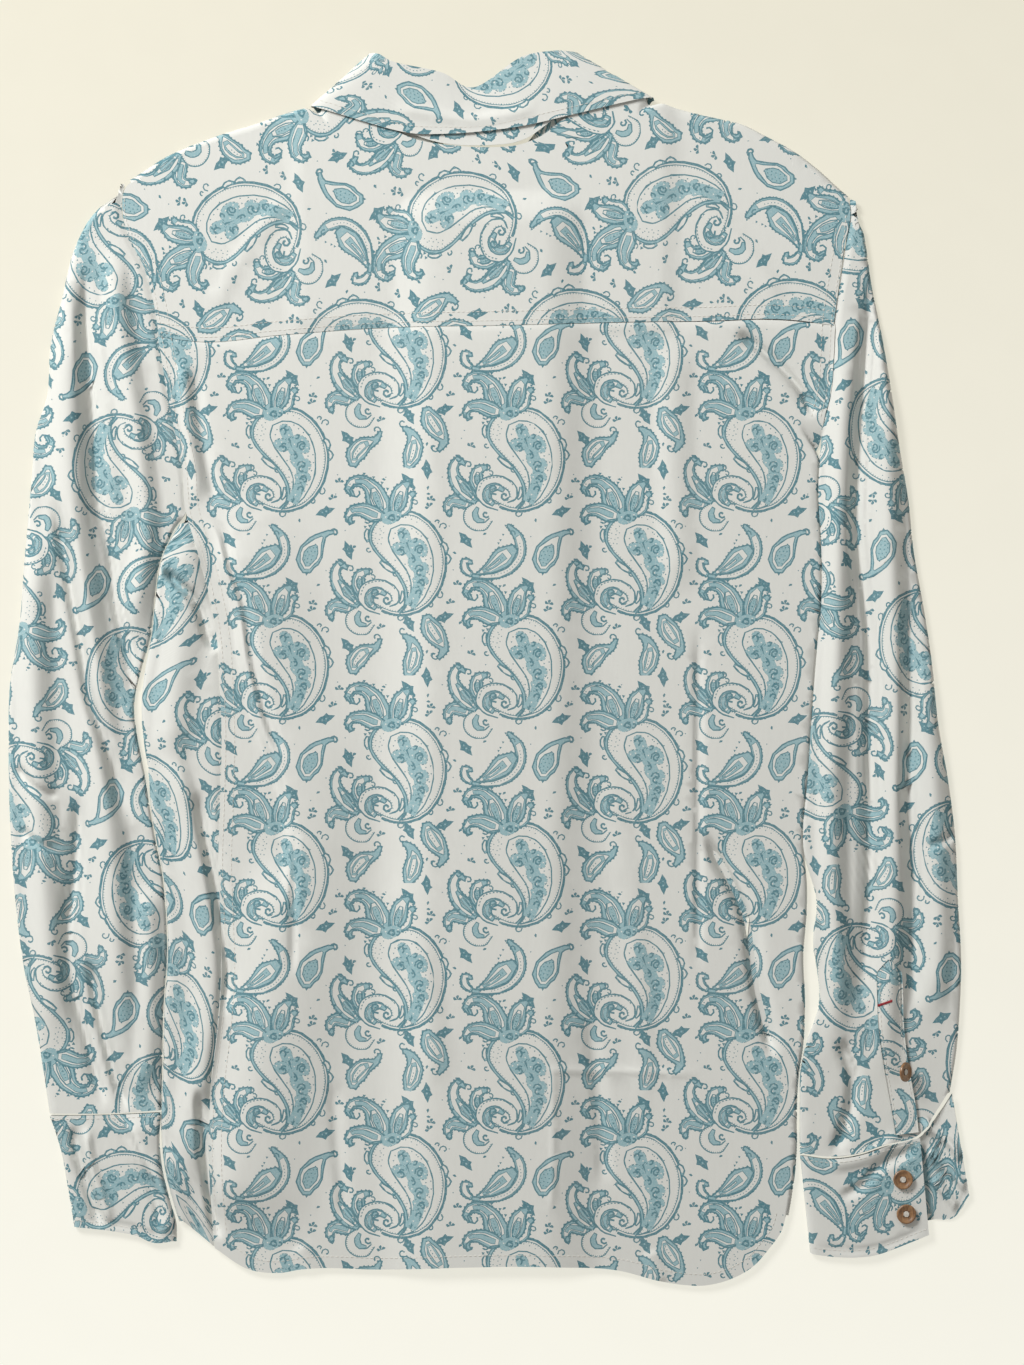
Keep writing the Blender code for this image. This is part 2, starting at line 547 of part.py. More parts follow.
def front_left_panel():
    """The left front, under the back, rolled up along the left side as far as the side seam on top."""
    centre = joined(NECK_LEFT_FRONT, [(FRONT_LAP, y) for y in (262, 254, 240, 100, -361)])
    side = moved(joined(ARMHOLE_LEFT[2:], BODY_LEFT), SEAM / 2)
    neck = Line(NECK_LEFT_FRONT).length / centre.length
    rows = np.concatenate([np.linspace(0, neck, 6), np.linspace(neck, 1, 21)[1:]])
    columns = np.array([0, 0.11, 0.205, 0.27, 0.335, 0.5, 0.66, 0.83, 1])
    edge = side.at(rows)
    armhole_share = Line(ARMHOLE_LEFT[2:]).length / side.length
    past = (rows - armhole_share) / (1 - armhole_share)
    seam = moved(Line(SIDE_SEAM), -SEAM / 2)
    end = np.where(past[:, None] > 0, seam.at(past), edge)
    curl = smooth(past * side.length * (1 - armhole_share) / CURL_LENGTH)
    head = moved(Line(YOKE_UNDER_LEFT), 2 * SEAM)
    foot = Line(HEM_FRONT_LEFT)
    return panel_with_wrap(centre, side, head, foot, rows, columns, under_left, top, curl, end, 4,
                           outward_sign=-1)


def front_right_panel():
    """The right front, under the back, from the band's seam to the seam of the back's wrap."""
    inner = joined(NECK_RIGHT_FRONT, [(BAND_HALF + SEAM, y) for y in (264, 256, 240, 100, -361)])
    body = Line(BODY_RIGHT)
    fraction = np.linspace(0.02, 1, 40)
    edge = body.at(fraction)
    width = SIDE_WRAP * smooth((BODY_RIGHT[0][1] - edge[:, 1]) / WRAP_OPENS) + 2 * SEAM
    seam = edge - body.normal(fraction) * width[:, None]
    armhole = [(x - SEAM / 2, y) for x, y in ARMHOLE_RIGHT[1:]]
    side = Line(armhole + [tuple(point) for point in seam])
    rows = np.linspace(0, 1, 23)
    past = past_neck(YOKE_SEAM_SHARE)[1]
    columns = np.concatenate([[0], past[past > 0.05]])
    head = moved(Line(YOKE_UNDER_RIGHT), -2 * SEAM)
    foot = Line(HEM_FRONT_RIGHT[:-1] + [tuple(seam[-1])])
    return lifted(patch(inner.at(rows), side.at(rows), head, foot, rows, columns), under)


def front_band():
    """The front band, a straight strip down the centre."""
    x = np.linspace(-BAND_HALF, BAND_HALF, 3)
    y = np.linspace(BAND_TOP, BAND_FOOT, 11)
    height = np.full((11, 3), BAND_LIFT + FACED / 2)
    return np.dstack([np.broadcast_to(x, (11, 3)), np.broadcast_to(y[:, None], (11, 3)), height])


# ---------------------------------------------------------------- sleeves
def sleeve_panel(armhole, inner, outer, foot, side, share):
    """A sleeve: one panel round the flattened tube, its own seam under the inner edge.

    Above the underarm its inner edges end at the armhole, one on each layer.
    """
    inner_line = moved(joined(armhole, inner), -side * SEAM / 2)
    outer_line = Line(outer)
    underarm = Line(armhole).length / inner_line.length
    rows = np.concatenate([np.linspace(0, underarm, 12), np.linspace(underarm, 1, 22)[1:]])
    inner_points = inner_line.at(rows)
    outer_points = outer_line.at(rows)
    curl = smooth((rows - underarm) * inner_line.length / CURL_LENGTH)
    across = outer_points - inner_points
    across /= np.linalg.norm(across, axis=1, keepdims=True)
    seam_at = inner_points.copy()
    inner_roll = rolled_edge(inner_points, -across, top, under, curl, seam_at, 0, CLOTH)
    full = np.ones(len(rows))
    outer_roll = rolled_edge(outer_points, across, top, under, full, outer_points, 0, CLOTH)
    top_net = patch(inner_roll[0][:, :2], outer_roll[0][:, :2], Line([inner_points[0], outer_points[0]]),
                    Line(foot), rows, share)
    top_points = lifted(top_net, top)
    seam_end = inner_roll[-1][:, :2] + across * SEAM
    under_share = np.linspace(0, 1, 8)
    head_back = Line([outer_points[0], inner_points[0]])
    foot_back = Line(foot[::-1])
    under_net = patch(outer_roll[-1][:, :2], seam_end, head_back, foot_back, rows, under_share)
    under_points = lifted(under_net, under)
    columns = [column[:, None] for column in inner_roll[::-1]] + [top_points[:, 1:-1]]
    columns += [column[:, None] for column in outer_roll] + [under_points[:, 1:]]
    return np.concatenate(columns, axis=1)


def left_sleeve():
    foot = [SLEEVE_INNER_LEFT[-1], (-234, -272), SLEEVE_OUTER_LEFT[-1]]
    return sleeve_panel(ARMHOLE_LEFT, SLEEVE_INNER_LEFT, SLEEVE_OUTER_LEFT, foot, 1, np.linspace(0, 1, 12))


def right_sleeve():
    return sleeve_panel(ARMHOLE_RIGHT, SLEEVE_INNER_RIGHT, SLEEVE_OUTER_RIGHT, SLEEVE_FOOT_RIGHT, -1,
                        np.linspace(0, 1, 12))


# ---------------------------------------------------------------- lofted bands
def lofted_band(sections, rows, lowest):
    """A strip between the two edges of a table of sections, a column for each step."""
    first = np.array([(s.x1, s.y1, s.z1) for s in sections], float)
    second = np.array([(s.x2, s.y2, s.z2) for s in sections], float)
    columns = []
    for index, section in enumerate(sections):
        count = max(section.steps, 1)
        for step in range(count):
            columns.append(index + step / count)
    places = np.array(columns)

    def through(points):
        keys = np.arange(len(points))
        before = np.vstack([points[:1], points, points[-1:]])
        tangent = (before[2:] - before[:-2]) / 2
        index = np.minimum(places.astype(int), len(points) - 2)
        t = (places - keys[index])[:, None]
        start, end, leave, arrive = points[index], points[index + 1], tangent[index], tangent[index + 1]
        return (start * (1 + 2 * t) * (1 - t) ** 2 + end * t * t * (3 - 2 * t)
                + leave * t * (1 - t) ** 2 - arrive * t * t * (1 - t))

    share = rows[:, None, None]
    points = through(first)[None] * (1 - share) + through(second)[None] * share
    points[..., 2] = np.maximum(points[..., 2], lowest)
    return points


def collar_fall():
    """The fall: from its free edge up to its fold, with a little crown on the back."""
    points = lofted_band(FALL, np.array(FALL_ROWS), CLOTH / 2)
    points[1:3, :, 2] += FALL_CROWN * np.where(points[1:3, :, 2] > 3, 1, 0)
    return points


def cuff_top(x, y):
    return top(x, y) + CUFF_RISE


def cuff_under(x, y):
    return np.full(np.shape(x), FACED / 2)


def left_cuff():
    """The left cuff, a flattened ring parted underneath."""
    rows = np.linspace(0, 1, 5)
    outer = Line(LEFT_CUFF_OUTER).at(rows)
    inner = moved(Line(LEFT_CUFF_INNER), -SEAM / 2).at(rows)
    across = outer - inner
    across /= np.linalg.norm(across, axis=1, keepdims=True)
    full = np.ones(len(rows))
    inner_roll = rolled_edge(inner, -across, cuff_top, cuff_under, full, inner, 0, FACED)
    outer_roll = rolled_edge(outer, across, cuff_top, cuff_under, full, outer, 0, FACED)
    seam_line, free_line = Line(LEFT_CUFF_EDGE_SEAM[::-1]), Line(LEFT_CUFF_EDGE_FREE[::-1])
    sides = inner_roll[0][:, :2], outer_roll[0][:, :2]
    top_net = patch(*sides, seam_line, free_line, rows, np.linspace(0, 1, 9))
    under_share = [0, LEFT_CUFF_LAP / 2, LEFT_CUFF_LAP, LEFT_CUFF_LAP + LEFT_CUFF_GAP, (1 + LEFT_CUFF_LAP) / 2, 1]
    under_net = patch(*sides, seam_line, free_line, rows, np.array(under_share))
    top_points = lifted(top_net, cuff_top)
    under_points = lifted(under_net, cuff_under)
    columns = [under_points[:, 2:3], under_points[:, 1:2]] + [column[:, None] for column in inner_roll[::-1]]
    columns += [top_points[:, 1:-1]] + [column[:, None] for column in outer_roll]
    columns += [under_points[:, 4:5], under_points[:, 3:4]]
    return np.concatenate(columns, axis=1)


# ---------------------------------------------------------------- what lies on the panels
def facet_height(points, x, y):
    """Height of a sheet's own facets at a point, on whichever diagonal is higher, where it faces up."""
    best = -1.0
    rows, columns = points.shape[:2]
    for row in range(rows - 1):
        for column in range(columns - 1):
            corner = points[row:row + 2, column:column + 2].reshape(4, 3)
            low, high = corner.min(axis=0), corner.max(axis=0)
            if not (low[0] <= x <= high[0] and low[1] <= y <= high[1]):
                continue
            for a, b, c in ((0, 1, 2), (1, 3, 2), (0, 1, 3), (0, 3, 2)):
                area = np.cross(corner[b, :2] - corner[a, :2], corner[c, :2] - corner[a, :2])
                if abs(area) < 1e-6:
                    continue
                w_b = np.cross([x, y] - corner[a, :2], corner[c, :2] - corner[a, :2]) / area
                w_c = np.cross(corner[b, :2] - corner[a, :2], [x, y] - corner[a, :2]) / area
                if min(w_b, w_c, 1 - w_b - w_c) >= -1e-6:
                    best = max(best, corner[a, 2] * (1 - w_b - w_c) + corner[b, 2] * w_b + corner[c, 2] * w_c)
    return best


def placket_panel(sleeve):
    """The right sleeve's placket, made on the sleeve's own facets and moved out."""
    lift = CLOTH + STEP + PLACKET_SPARE
    middle = Line([(row.x, row.y) for row in PLACKET])
    table = np.array([(row.y, row.half) for row in PLACKET])[::-1]
    share = np.linspace(0, 1, PLACKET_ROWS)
    place = middle.at(share)
    half = np.interp(place[:, 1], table[:, 0], table[:, 1])
    points = np.zeros((PLACKET_ROWS, PLACKET_COLUMNS, 3))
    for row, (spot, normal) in enumerate(zip(place, middle.normal(share))):
        for column, part in enumerate(np.linspace(-1, 1, PLACKET_COLUMNS)):
            x, y = spot + normal * half[row] * part
            points[row, column] = (x, y, facet_height(sleeve, x, y) + lift)
    return points


def add_button(name, x, y, z, turn, material):
    """A round button with a raised rim: a drum whose upper face is inset and let down."""
    bm = bmesh.new()
    half = BUTTON_THICK / 2 * MM
    radius = BUTTON_ACROSS / 2 * MM
    bmesh.ops.create_cone(bm, cap_ends=True, segments=20, radius1=radius, radius2=radius, depth=2 * half)
    upper = max(bm.faces, key=lambda face: face.calc_center_median().z)
    bmesh.ops.inset_individual(bm, faces=[upper], thickness=0.25 * radius, depth=-0.7 * MM)
    mesh = bpy.data.meshes.new(name)
    bm.to_mesh(mesh)
    bm.free()
    node = add_object(name, mesh, material)
    node.rotation_euler = (0, math.radians(turn), 0)
    node.location = ((x - MIDDLE[0]) * MM, (y - MIDDLE[1]) * MM, z * MM)
    return node


def disc_seat(points, x, y, reach, wall):
    """Lowest height at which a flat disc clears the sheet under it."""
    angles = np.linspace(0, 2 * math.pi, 12, endpoint=False)
    places = [(x, y)] + [(x + reach * math.cos(a), y + reach * math.sin(a)) for a in angles]
    return max(facet_height(points, *place) for place in places) + wall / 2 + STEP


def build():
    for existing in list(bpy.data.objects):
        bpy.data.objects.remove(existing, do_unlink=True)
    collection = bpy.data.collections.new(COLLECTION)
    bpy.context.scene.collection.children.link(collection)

    cloth = new_material("printed_twill", CREAM, 0.85)
    horn = new_material("horn", HORN, 0.4)

    sheet("back", back_panel(), CLOTH, cloth)
    sheet("yoke", yoke_panel(), CLOTH, cloth)
    sheet("front_left", front_left_panel(), CLOTH, cloth)
    sheet("front_right", front_right_panel(), CLOTH, cloth)
    sheet("front_band", front_band(), FACED, cloth)
    sheet("sleeve_left", left_sleeve(), CLOTH, cloth)
    sleeve = right_sleeve()
    sheet("sleeve_right", sleeve, CLOTH, cloth)
    placket = placket_panel(sleeve)
    sheet("placket_right", placket, CLOTH, cloth)
    sheet("collar_stand", lofted_band(STAND, np.array(STAND_ROWS), STAND_LOWEST), CLOTH, cloth)
    sheet("collar_fall", collar_fall(), CLOTH, cloth)
    sheet("cuff_left", left_cuff(), FACED, cloth)
    cuff = lofted_band(RIGHT_CUFF, np.linspace(0, 1, 4), FACED / 2)
    sheet("cuff_right", cuff, FACED, cloth)

    on_cuff = (cuff, FACED)
    seats = {"button_cuff_1": on_cuff, "button_cuff_2": on_cuff, "button_placket": (placket, CLOTH)}
    for button in SHOWN_BUTTONS:
        carrier, wall = seats[button.name]
        turn = math.radians(button.turn)
        reach = BUTTON_ACROSS / 2 * max(math.cos(turn), 0.3)
        rise = BUTTON_ACROSS / 2 * math.sin(turn) + BUTTON_THICK / 2 * math.cos(turn)
        z = disc_seat(carrier, button.x, button.y, reach, wall) + rise
        add_button(button.name, button.x, button.y, z, button.turn, horn)
    for index in range(FRONT_BUTTONS):
        y = FRONT_BUTTON_TOP - index * FRONT_BUTTON_PITCH
        add_button(f"button_front_{index + 1}", 0, y, BUTTON_THICK / 2, 180, horn)


build()
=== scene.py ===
"""How the work shirt looks: printed twill, sewing, buttons, table, light and camera.

Lengths are millimetres until a mesh is made: x to the shirt's right, y towards the collar, z up from
the table. Each panel is a net of points on the form of its solid. The net is laid out flat as cloth,
the print is drawn on the flat cloth, and both are cut into one mesh that lies on the net.
"""

import math
from collections import namedtuple

import bmesh
import bpy
import numpy as np
from mathutils import Matrix, Vector
from mathutils.bvhtree import BVHTree
from mathutils.geometry import delaunay_2d_cdt


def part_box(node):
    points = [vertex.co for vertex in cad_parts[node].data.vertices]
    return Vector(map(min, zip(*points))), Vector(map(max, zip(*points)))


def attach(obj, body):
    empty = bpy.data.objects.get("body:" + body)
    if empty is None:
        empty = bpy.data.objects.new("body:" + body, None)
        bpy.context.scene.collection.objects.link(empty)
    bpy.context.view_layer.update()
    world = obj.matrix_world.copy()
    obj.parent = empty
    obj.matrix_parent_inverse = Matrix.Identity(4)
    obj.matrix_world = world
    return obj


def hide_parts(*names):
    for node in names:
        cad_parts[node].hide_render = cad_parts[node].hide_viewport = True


MM = 0.001

# Walls and levels of the solids under the cloth
CLOTH = 1.2
FACED = 1.4
STEP = 0.3
UNDER_MID = 0.6
TOP_MID = 3.2
LAYERS_APART = 5.1
LAYERS_CLOSE = 1.6
BLEND = 0.6             # how softly one height passes into another

# The shells
SEAM = 0.12             # clear way between two panels along their seam
SKIN = 0.45             # the shells lie this far outside the middle of the solids' walls
GRID = 1.8              # spacing of a panel's net
EDGE_TURN = 0.55        # depth of the turned edge round a panel
EDGE_WALL = 0.3         # a folded edge rolls over a wall this thick

# Front band and its buttons, under the centre of the back
BAND_HALF = 18.0
BAND_LIFT = 2.7
BAND_TOP = 261.5
BAND_FOOT = -361.0
BAND_RAMP = 26.0        # breadth over which the cloth beside the band comes down to the table
BAND_END = 14.0         # and the length over which it does so past the band's head
LAP_START = -54.0       # the left front starts to rise over the band here
FRONT_LAP = 14.0        # how far the left front goes on past the centre, over the band

# Wraps: how far a panel goes on past a folded edge
SIDE_WRAP = 35.0        # the back, under the right side
WRAP_OPENS = 100.0      # length below the underarm over which that wrap reaches its full width
CURL_LENGTH = 26.0      # length of edge over which a roll closes, below the underarm
NECK_CURL = 0.125       # share of a shoulder's length over which its roll closes, from the neck out
ROLL_STEPS = 4          # columns of a net round a fold
SIDE_COLUMNS = 9        # and on the flat part of the wrap past it
SHOULDER_COLUMNS = 7
UNDERARM_COLUMNS = 24
SQUEEZE = 1.3           # column spacing where a wrap has run out

# Where the middle of the whole outline lies in the tables' frame
MIDDLE = (-0.2, -0.66, 0.0)

# -------------------- outlines, (x, y)
SHOULDER_LEFT = [(-219, 297), (-195, 312), (-171, 322), (-143, 331), (-115, 340), (-97, 343)]
SHOULDER_RIGHT = [
    (91, 349), (113, 341), (137, 335), (154, 331), (170, 323), (185, 315), (201, 303), (213, 292), (219, 287),
]
NECK_BACK = [
    (-97, 343), (-79, 338), (-62, 329), (-45, 321.5), (-20, 317.5), (0, 316.5), (18, 318), (32, 323.5),
    (46, 334), (68, 343), (91, 349),
]
NECK_LEFT_FRONT = [(-94, 340), (-85, 322), (-66, 297), (-40, 274), (-18, 264), (14, 262)]
NECK_RIGHT_FRONT = [(88, 346), (82, 324), (66, 297), (42, 274), (BAND_HALF + SEAM, 264)]
YOKE_SEAM = [
    (-201, 202), (-175, 199), (-129, 203), (-75, 207), (14, 209), (84, 211), (142, 212), (165, 213), (188, 212),
    (210, 209),
]
ARMHOLE_LEFT = [
    (-222, 294), (-224, 279), (-217, 258), (-211, 246), (-204, 221), (-201, 202), (-198, 184), (-195, 166),
    (-190, 141), (-186, 122), (-184, 96),
]
ARMHOLE_RIGHT = [(220, 285), (217, 255), (213, 230), (210, 209), (209, 189), (207, 166), (203, 150)]
BODY_LEFT = [
    (-184, 96), (-192, 82), (-199, 68), (-204, 38), (-206, 19), (-210, -2), (-212, -22), (-211, -43),
    (-208, -63), (-206, -89), (-203, -106), (-199, -126), (-197, -146), (-196, -176), (-198, -205),
    (-199, -250), (-200, -284), (-198, -304), (-193, -325), (-189, -338),
]
SLEEVE_INNER_LEFT = (BODY_LEFT[:5] + [(-212, -3), (-216, -22), (-214, -43), (-210, -63)] + BODY_LEFT[9:16]
                     + [(-199.5, -270)])
SLEEVE_OUTER_LEFT = [
    (-226, 291), (-245, 271), (-252, 257), (-261, 222), (-267, 198), (-270, 163), (-276, 145), (-279, 114),
    (-283, 69), (-287, 21), (-292, -9), (-293, -49), (-292, -98), (-289, -142), (-283, -187), (-278, -210),
    (-272, -245), (-268, -272),
]
BODY_RIGHT = [
    (203, 150), (201, 129), (200, 107), (202, 71), (202, 40), (199, 9), (196, -30), (193, -74), (191, -95),
    (191, -111), (193, -130), (193, -150), (191, -176), (192, -205), (191, -230), (188, -250), (187, -275),
    (187, -295), (185, -315), (182, -334),
]
SLEEVE_INNER_RIGHT = BODY_RIGHT[:10] + [
    (195, -126), (199, -140), (199, -152), (197, -165), (199, -181), (201, -197), (200, -209), (194, -226),
    (190, -243), (189, -270), (189, -297)]
SLEEVE_OUTER_RIGHT = [
    (225, 279), (229, 262), (233, 235), (240, 200), (246, 164), (250, 136), (256, 100), (259, 71), (265, 37),
    (270, 4), (274, -35), (280, -69), (284, -100), (286, -141), (288, -180), (287, -210), (285, -235),
    (281, -259),
]
SLEEVE_FOOT_RIGHT = [(189, -297), (208, -299), (225, -297), (240, -292), (262, -286), (274, -270), (281, -259)]
SIDE_SEAM = [
    (-184, 96), (-177, 72), (-170, 46), (-165, 18), (-163, -12), (-162, -45), (-163, -85), (-164, -120),
    (-163, -150), (-162, -187), (-164, -218), (-168, -252), (-170, -290), (-169, -322), (-166, -354),
]
HEM_BACK = [
    (-166, -354), (-145, -367), (-126, -369), (-114, -367), (-64, -367), (-15, -365.5), (19, -365),
    (44, -365.5), (81, -368), (104, -374), (119, -376.5), (131, -377), (147, -373.5), (161, -366), (172, -354),
    (179, -344), (182, -334),
]
HEM_FRONT_LEFT = [(14, -361), (-60, -361), (-120, -362), (-160, -353), (-189, -338)]
HEM_FRONT_RIGHT = [(BAND_HALF + SEAM, -361), (60, -362), (105, -363), (130, -352), (146.5, -335)]
YOKE_UNDER_LEFT = [
    (-95, 341), (-104, 327), (-122, 312), (-148, 303), (-172, 294), (-192, 283), (-206, 271), (-216, 259),
]
YOKE_UNDER_RIGHT = [
    (89, 347), (98, 331), (116, 316), (138, 309), (158, 303), (178, 293), (197, 279), (209, 268), (216.5, 260),
]

# -------------------- folds
# height of the fold in the cloth (below zero for a valley), how far it spreads to its left (west)
# and to its right (east), and the line that it follows
Fold = namedtuple("Fold", "name height west east path")
FOLDS = [Fold(*row) for row in [
    ("side drape", 3.0, 7, 55, [(-174, 98), (-165, 83), (-159, 60), (-152, 41), (-147, 5), (-142, -17),
        (-134, -43), (-126, -61), (-120, -87), (-119, -118), (-120, -150)]),
    ("hip slope", 3.2, 30, 55, [(-120, -110), (-124, -142), (-131, -203), (-143, -264), (-152, -313),
        (-158, -350)]),
    ("side roll", 2.6, 16, 9, [(-198, -32), (-185, -81), (-177, -118), (-171, -150), (-169, -203),
        (-175, -250), (-181, -290), (-180, -330)]),
    ("upper pinch", -2.2, 6, 8, [(-178, -73), (-173, -103), (-168, -126), (-162, -164), (-159, -187),
        (-162, -214)]),
    ("lower pinch", -2.2, 6, 7, [(-177, -255), (-173, -294), (-170, -322), (-164, -350)]),
    ("underarm crease", -2.0, 5, 6, [(-200, 60), (-195, 56), (-189, 50), (-182, 44), (-176, 35), (-171, 19),
        (-166, 8)]),
    ("underarm puff", 2.0, 14, 16, [(-186, 88), (-186, 60), (-187, 20), (-192, -20), (-194, -60)]),
    ("right hip", -1.4, 9, 11, [(129, -99), (145, -125), (156, -151), (162, -191), (174, -240)]),
    ("right shoulder blade", -1.2, 8, 10, [(150, 205), (170, 190), (190, 169), (199, 152)]),
    ("right back", 1.2, 14, 16, [(112, 205), (112, 120), (116, 40)]),
    ("crown of the left sleeve", 4.4, 20, 14, [(-243, 266), (-254, 205), (-256, 150), (-253, 90),
        (-247, 40), (-240, -15), (-235, -60), (-231, -110), (-227, -170), (-222, -225), (-219, -262)]),
    ("long valley of the left sleeve", -3.4, 9, 8, [(-246, 250), (-246, 220), (-243, 179), (-240, 138),
        (-238, 102), (-231, 70), (-228, 40), (-221, 8), (-215, -30)]),
    ("armhole ridge of the left sleeve", 3.0, 11, 11, [(-231, 262), (-226, 215), (-219, 170), (-212, 120),
        (-209, 85), (-214, 40), (-218, 8)]),
    ("outer valley of the left sleeve", -3.0, 8, 9, [(-266, 110), (-259, 73), (-253, 38), (-248, 12),
        (-243, -18), (-234, -45), (-226, -75), (-222, -100)]),
    ("outer roll of the left sleeve", 3.4, 14, 14, [(-272, 100), (-277, 30), (-276, -50), (-272, -120),
        (-268, -180), (-261, -240)]),
    ("lower valley of the left sleeve", -3.0, 8, 8, [(-250, -75), (-252, -122), (-256, -170), (-253, -197),
        (-246, -224), (-239, -251), (-233, -271)]),
    ("wrist valley of the left sleeve", -2.2, 6, 6, [(-244, -176), (-239, -204), (-233, -231), (-225, -258),
        (-219, -271)]),
    ("inner roll of the left sleeve", 2.4, 10, 10, [(-208, -130), (-207, -180), (-208, -230),
        (-209, -262)]),
    ("inner roll of the right sleeve", 3.4, 11, 12, [(221, 225), (216, 160), (213, 90), (212, 20),
        (209, -60), (209, -130), (212, -190), (207, -250)]),
    ("long valley of the right sleeve", -3.6, 8, 8, [(231, 251), (232, 235), (230, 190), (227, 143),
        (225, 79), (228, 50), (231, 25), (232, -40), (232, -100), (231, -150), (228, -190), (226, -220)]),
    ("middle roll of the right sleeve", 3.6, 12, 12, [(240, 215), (242, 150), (244, 80), (247, 0),
        (247, -80), (246, -150), (243, -215), (240, -260)]),
    ("outer valley of the right sleeve", -2.6, 8, 8, [(255, 40), (257, -20), (256, -85), (259, -125),
        (259, -170), (258, -215)]),
    ("outer roll of the right sleeve", 2.4, 11, 11, [(262, 10), (269, -50), (273, -110), (274, -170),
        (270, -220)]),
    ("wrist valley of the right sleeve", -1.8, 7, 7, [(214, -225), (222, -250), (218, -278), (210, -297)]),
    ("lap of the left cuff", 2.4, 5, 22, [(-221, -272), (-213, -299), (-204, -311), (-198, -331),
        (-198, -350)]),
]]

# The back stands a little higher over the front band, and again over the collar's points
RIDGE_HEIGHT = 3.3
RIDGE_FLAT = 33.0
RIDGE_FOOT = 70.0
RIDGE_TOP = 300.0
RIDGE_END = 30.0
COLLAR_RISE = 0.8
COLLAR_LIFT = 1.5
COLLAR_WEST = -112.0
COLLAR_EAST = 104.0
COLLAR_SOUTH = 214.0
COLLAR_RAMP = 14.0

# -------------------- collar and right cuff
# One row for each section round the collar, from the front's left end over the back to its right
# end: the neck or free edge (x, y, z), the top edge (x, y, z), and the steps to the next section
# where they are not two.
Section = namedtuple("Section", "place x1 y1 z1 x2 y2 z2 steps", defaults=(2,))
STAND = [Section(*row) for row in [
    ("left end", -2.5, 263, 2.1, -2.5, 293, 2.1),
    ("front left", -52, 287, 2.1, -38, 327, 2.1),
    ("by the left fold", -89, 340, 2.1, -68, 366.5, 2.1),
    ("left fold", -94, 345, 3.05, -70.5, 369.5, 3.05),
    ("back by the left fold", -87, 345.5, 4.0, -66, 368.5, 4.0),
    ("back left", -53, 327.5, 4.0, -57, 365.5, 4.0),
    ("back left of centre", -28, 319, 4.0, -29, 359.5, 3.2),
    ("back centre", 0, 317.8, 4.0, -9, 350.5, 2.4),
    ("back right of centre", 22, 321.6, 4.0, 19, 368, 3.2),
    ("back right", 45, 337, 4.0, 38, 372, 4.0),
    ("back by the right fold", 77.5, 350, 4.0, 46, 371, 4.0),
    ("right fold", 84, 350.5, 3.05, 50, 370, 3.05),
    ("by the right fold", 80, 346, 2.1, 47, 367, 2.1),
    ("front right", 52, 287, 2.1, 30, 327, 2.1),
    ("right end", 2.5, 263, 2.1, 2.5, 293, 2.1, 0),
]]
FALL = [Section(*row) for row in [
    ("left point", -34, 232, 0.6, -2.5, 297, 0.6),
    ("front left", -80, 289, 0.6, -40, 331, 0.6),
    ("by the left fold", -103, 335, 0.6, -69, 369, 0.6),
    ("left fold", -108.3, 341, 3.1, -73, 373, 3.1),
    ("back by the left fold", -101, 339.5, 5.6, -67, 373, 5.6),
    ("back left", -54, 326, 5.6, -57, 368, 5.6),
    ("back left of centre", -27, 324.5, 5.6, -29, 362, 4.8),
    ("back centre", 0, 326.5, 5.6, -9, 353, 4.0),
    ("back right of centre", 24, 330, 5.6, 19, 371, 4.8),
    ("back right", 52, 336.5, 5.6, 39, 375, 5.6),
    ("back by the right fold", 93, 346, 5.6, 49, 374.5, 5.6),
    ("right fold", 100.4, 345, 3.1, 54.5, 373, 3.1),
    ("by the right fold", 96, 339, 0.6, 50, 369, 0.6),
    ("front right", 75, 289, 0.6, 32, 331, 0.6),
    ("right point", 34, 232, 0.6, 2.5, 297, 0.6, 0),
]]
STAND_LOWEST = 2.1

# One row for each section round the right cuff, from its button end on top, under its left fold,
# to the end that is turned out past the sleeve: the seam edge and the free edge.
RIGHT_CUFF = [Section(*row) for row in [
    ("button end", 262.5, -286.9, 3.6, 268, -346, 3.6, 3),
    ("on top", 242, -292.2, 3.7, 240, -357, 3.7, 1),
    ("on top, middle", 225, -297.7, 3.8, 226, -359.5, 3.8, 1),
    ("on top, left", 208, -299.8, 3.6, 213, -359.5, 3.6),
    ("top of the left fold", 193, -298.0, 3.4, 199, -358, 3.4, 1),
    ("left fold", 190, -297.8, 2.05, 196, -356.5, 2.05, 1),
    ("foot of the left fold", 193, -298.0, 0.7, 199, -356, 0.7),
    ("under, left", 208, -299.8, 0.7, 213, -357, 0.7, 1),
    ("under, middle", 225, -297.7, 0.7, 226, -355.5, 0.7, 1),
    ("under", 242, -292.2, 0.7, 240, -352, 0.7),
    ("under the button end", 262, -287.2, 0.7, 266, -338, 0.7),
    ("turned out", 275, -270.8, 1.6, 283, -336, 1.2),
    ("turned-out end", 282, -259.8, 3.6, 292.5, -322, 3.0, 0),
]]

# The left cuff: its seam edge and its free edge, and the fold on each side of it
LEFT_CUFF_EDGE_SEAM = [(-268, -273.5), (-234, -273), (-199.5, -271.5)]
LEFT_CUFF_EDGE_FREE = [(-253, -341), (-228, -344), (-214, -347), (-205, -351), (-190, -350)]
LEFT_CUFF_OUTER = [(-268, -273.5), (-261, -295), (-257, -317), (-253, -341)]
LEFT_CUFF_INNER = [(-199.5, -271.5), (-200.5, -287), (-199, -304), (-194, -325), (-190, -340), (-190, -350)]
LEFT_CUFF_LAP = 0.45    # where across the cuff its under side is parted
LEFT_CUFF_GAP = 0.012   # and how wide, as a share of the cuff's breadth
CUFF_RISE = 0.2         # the cuff stands this much higher than the sleeve's cloth

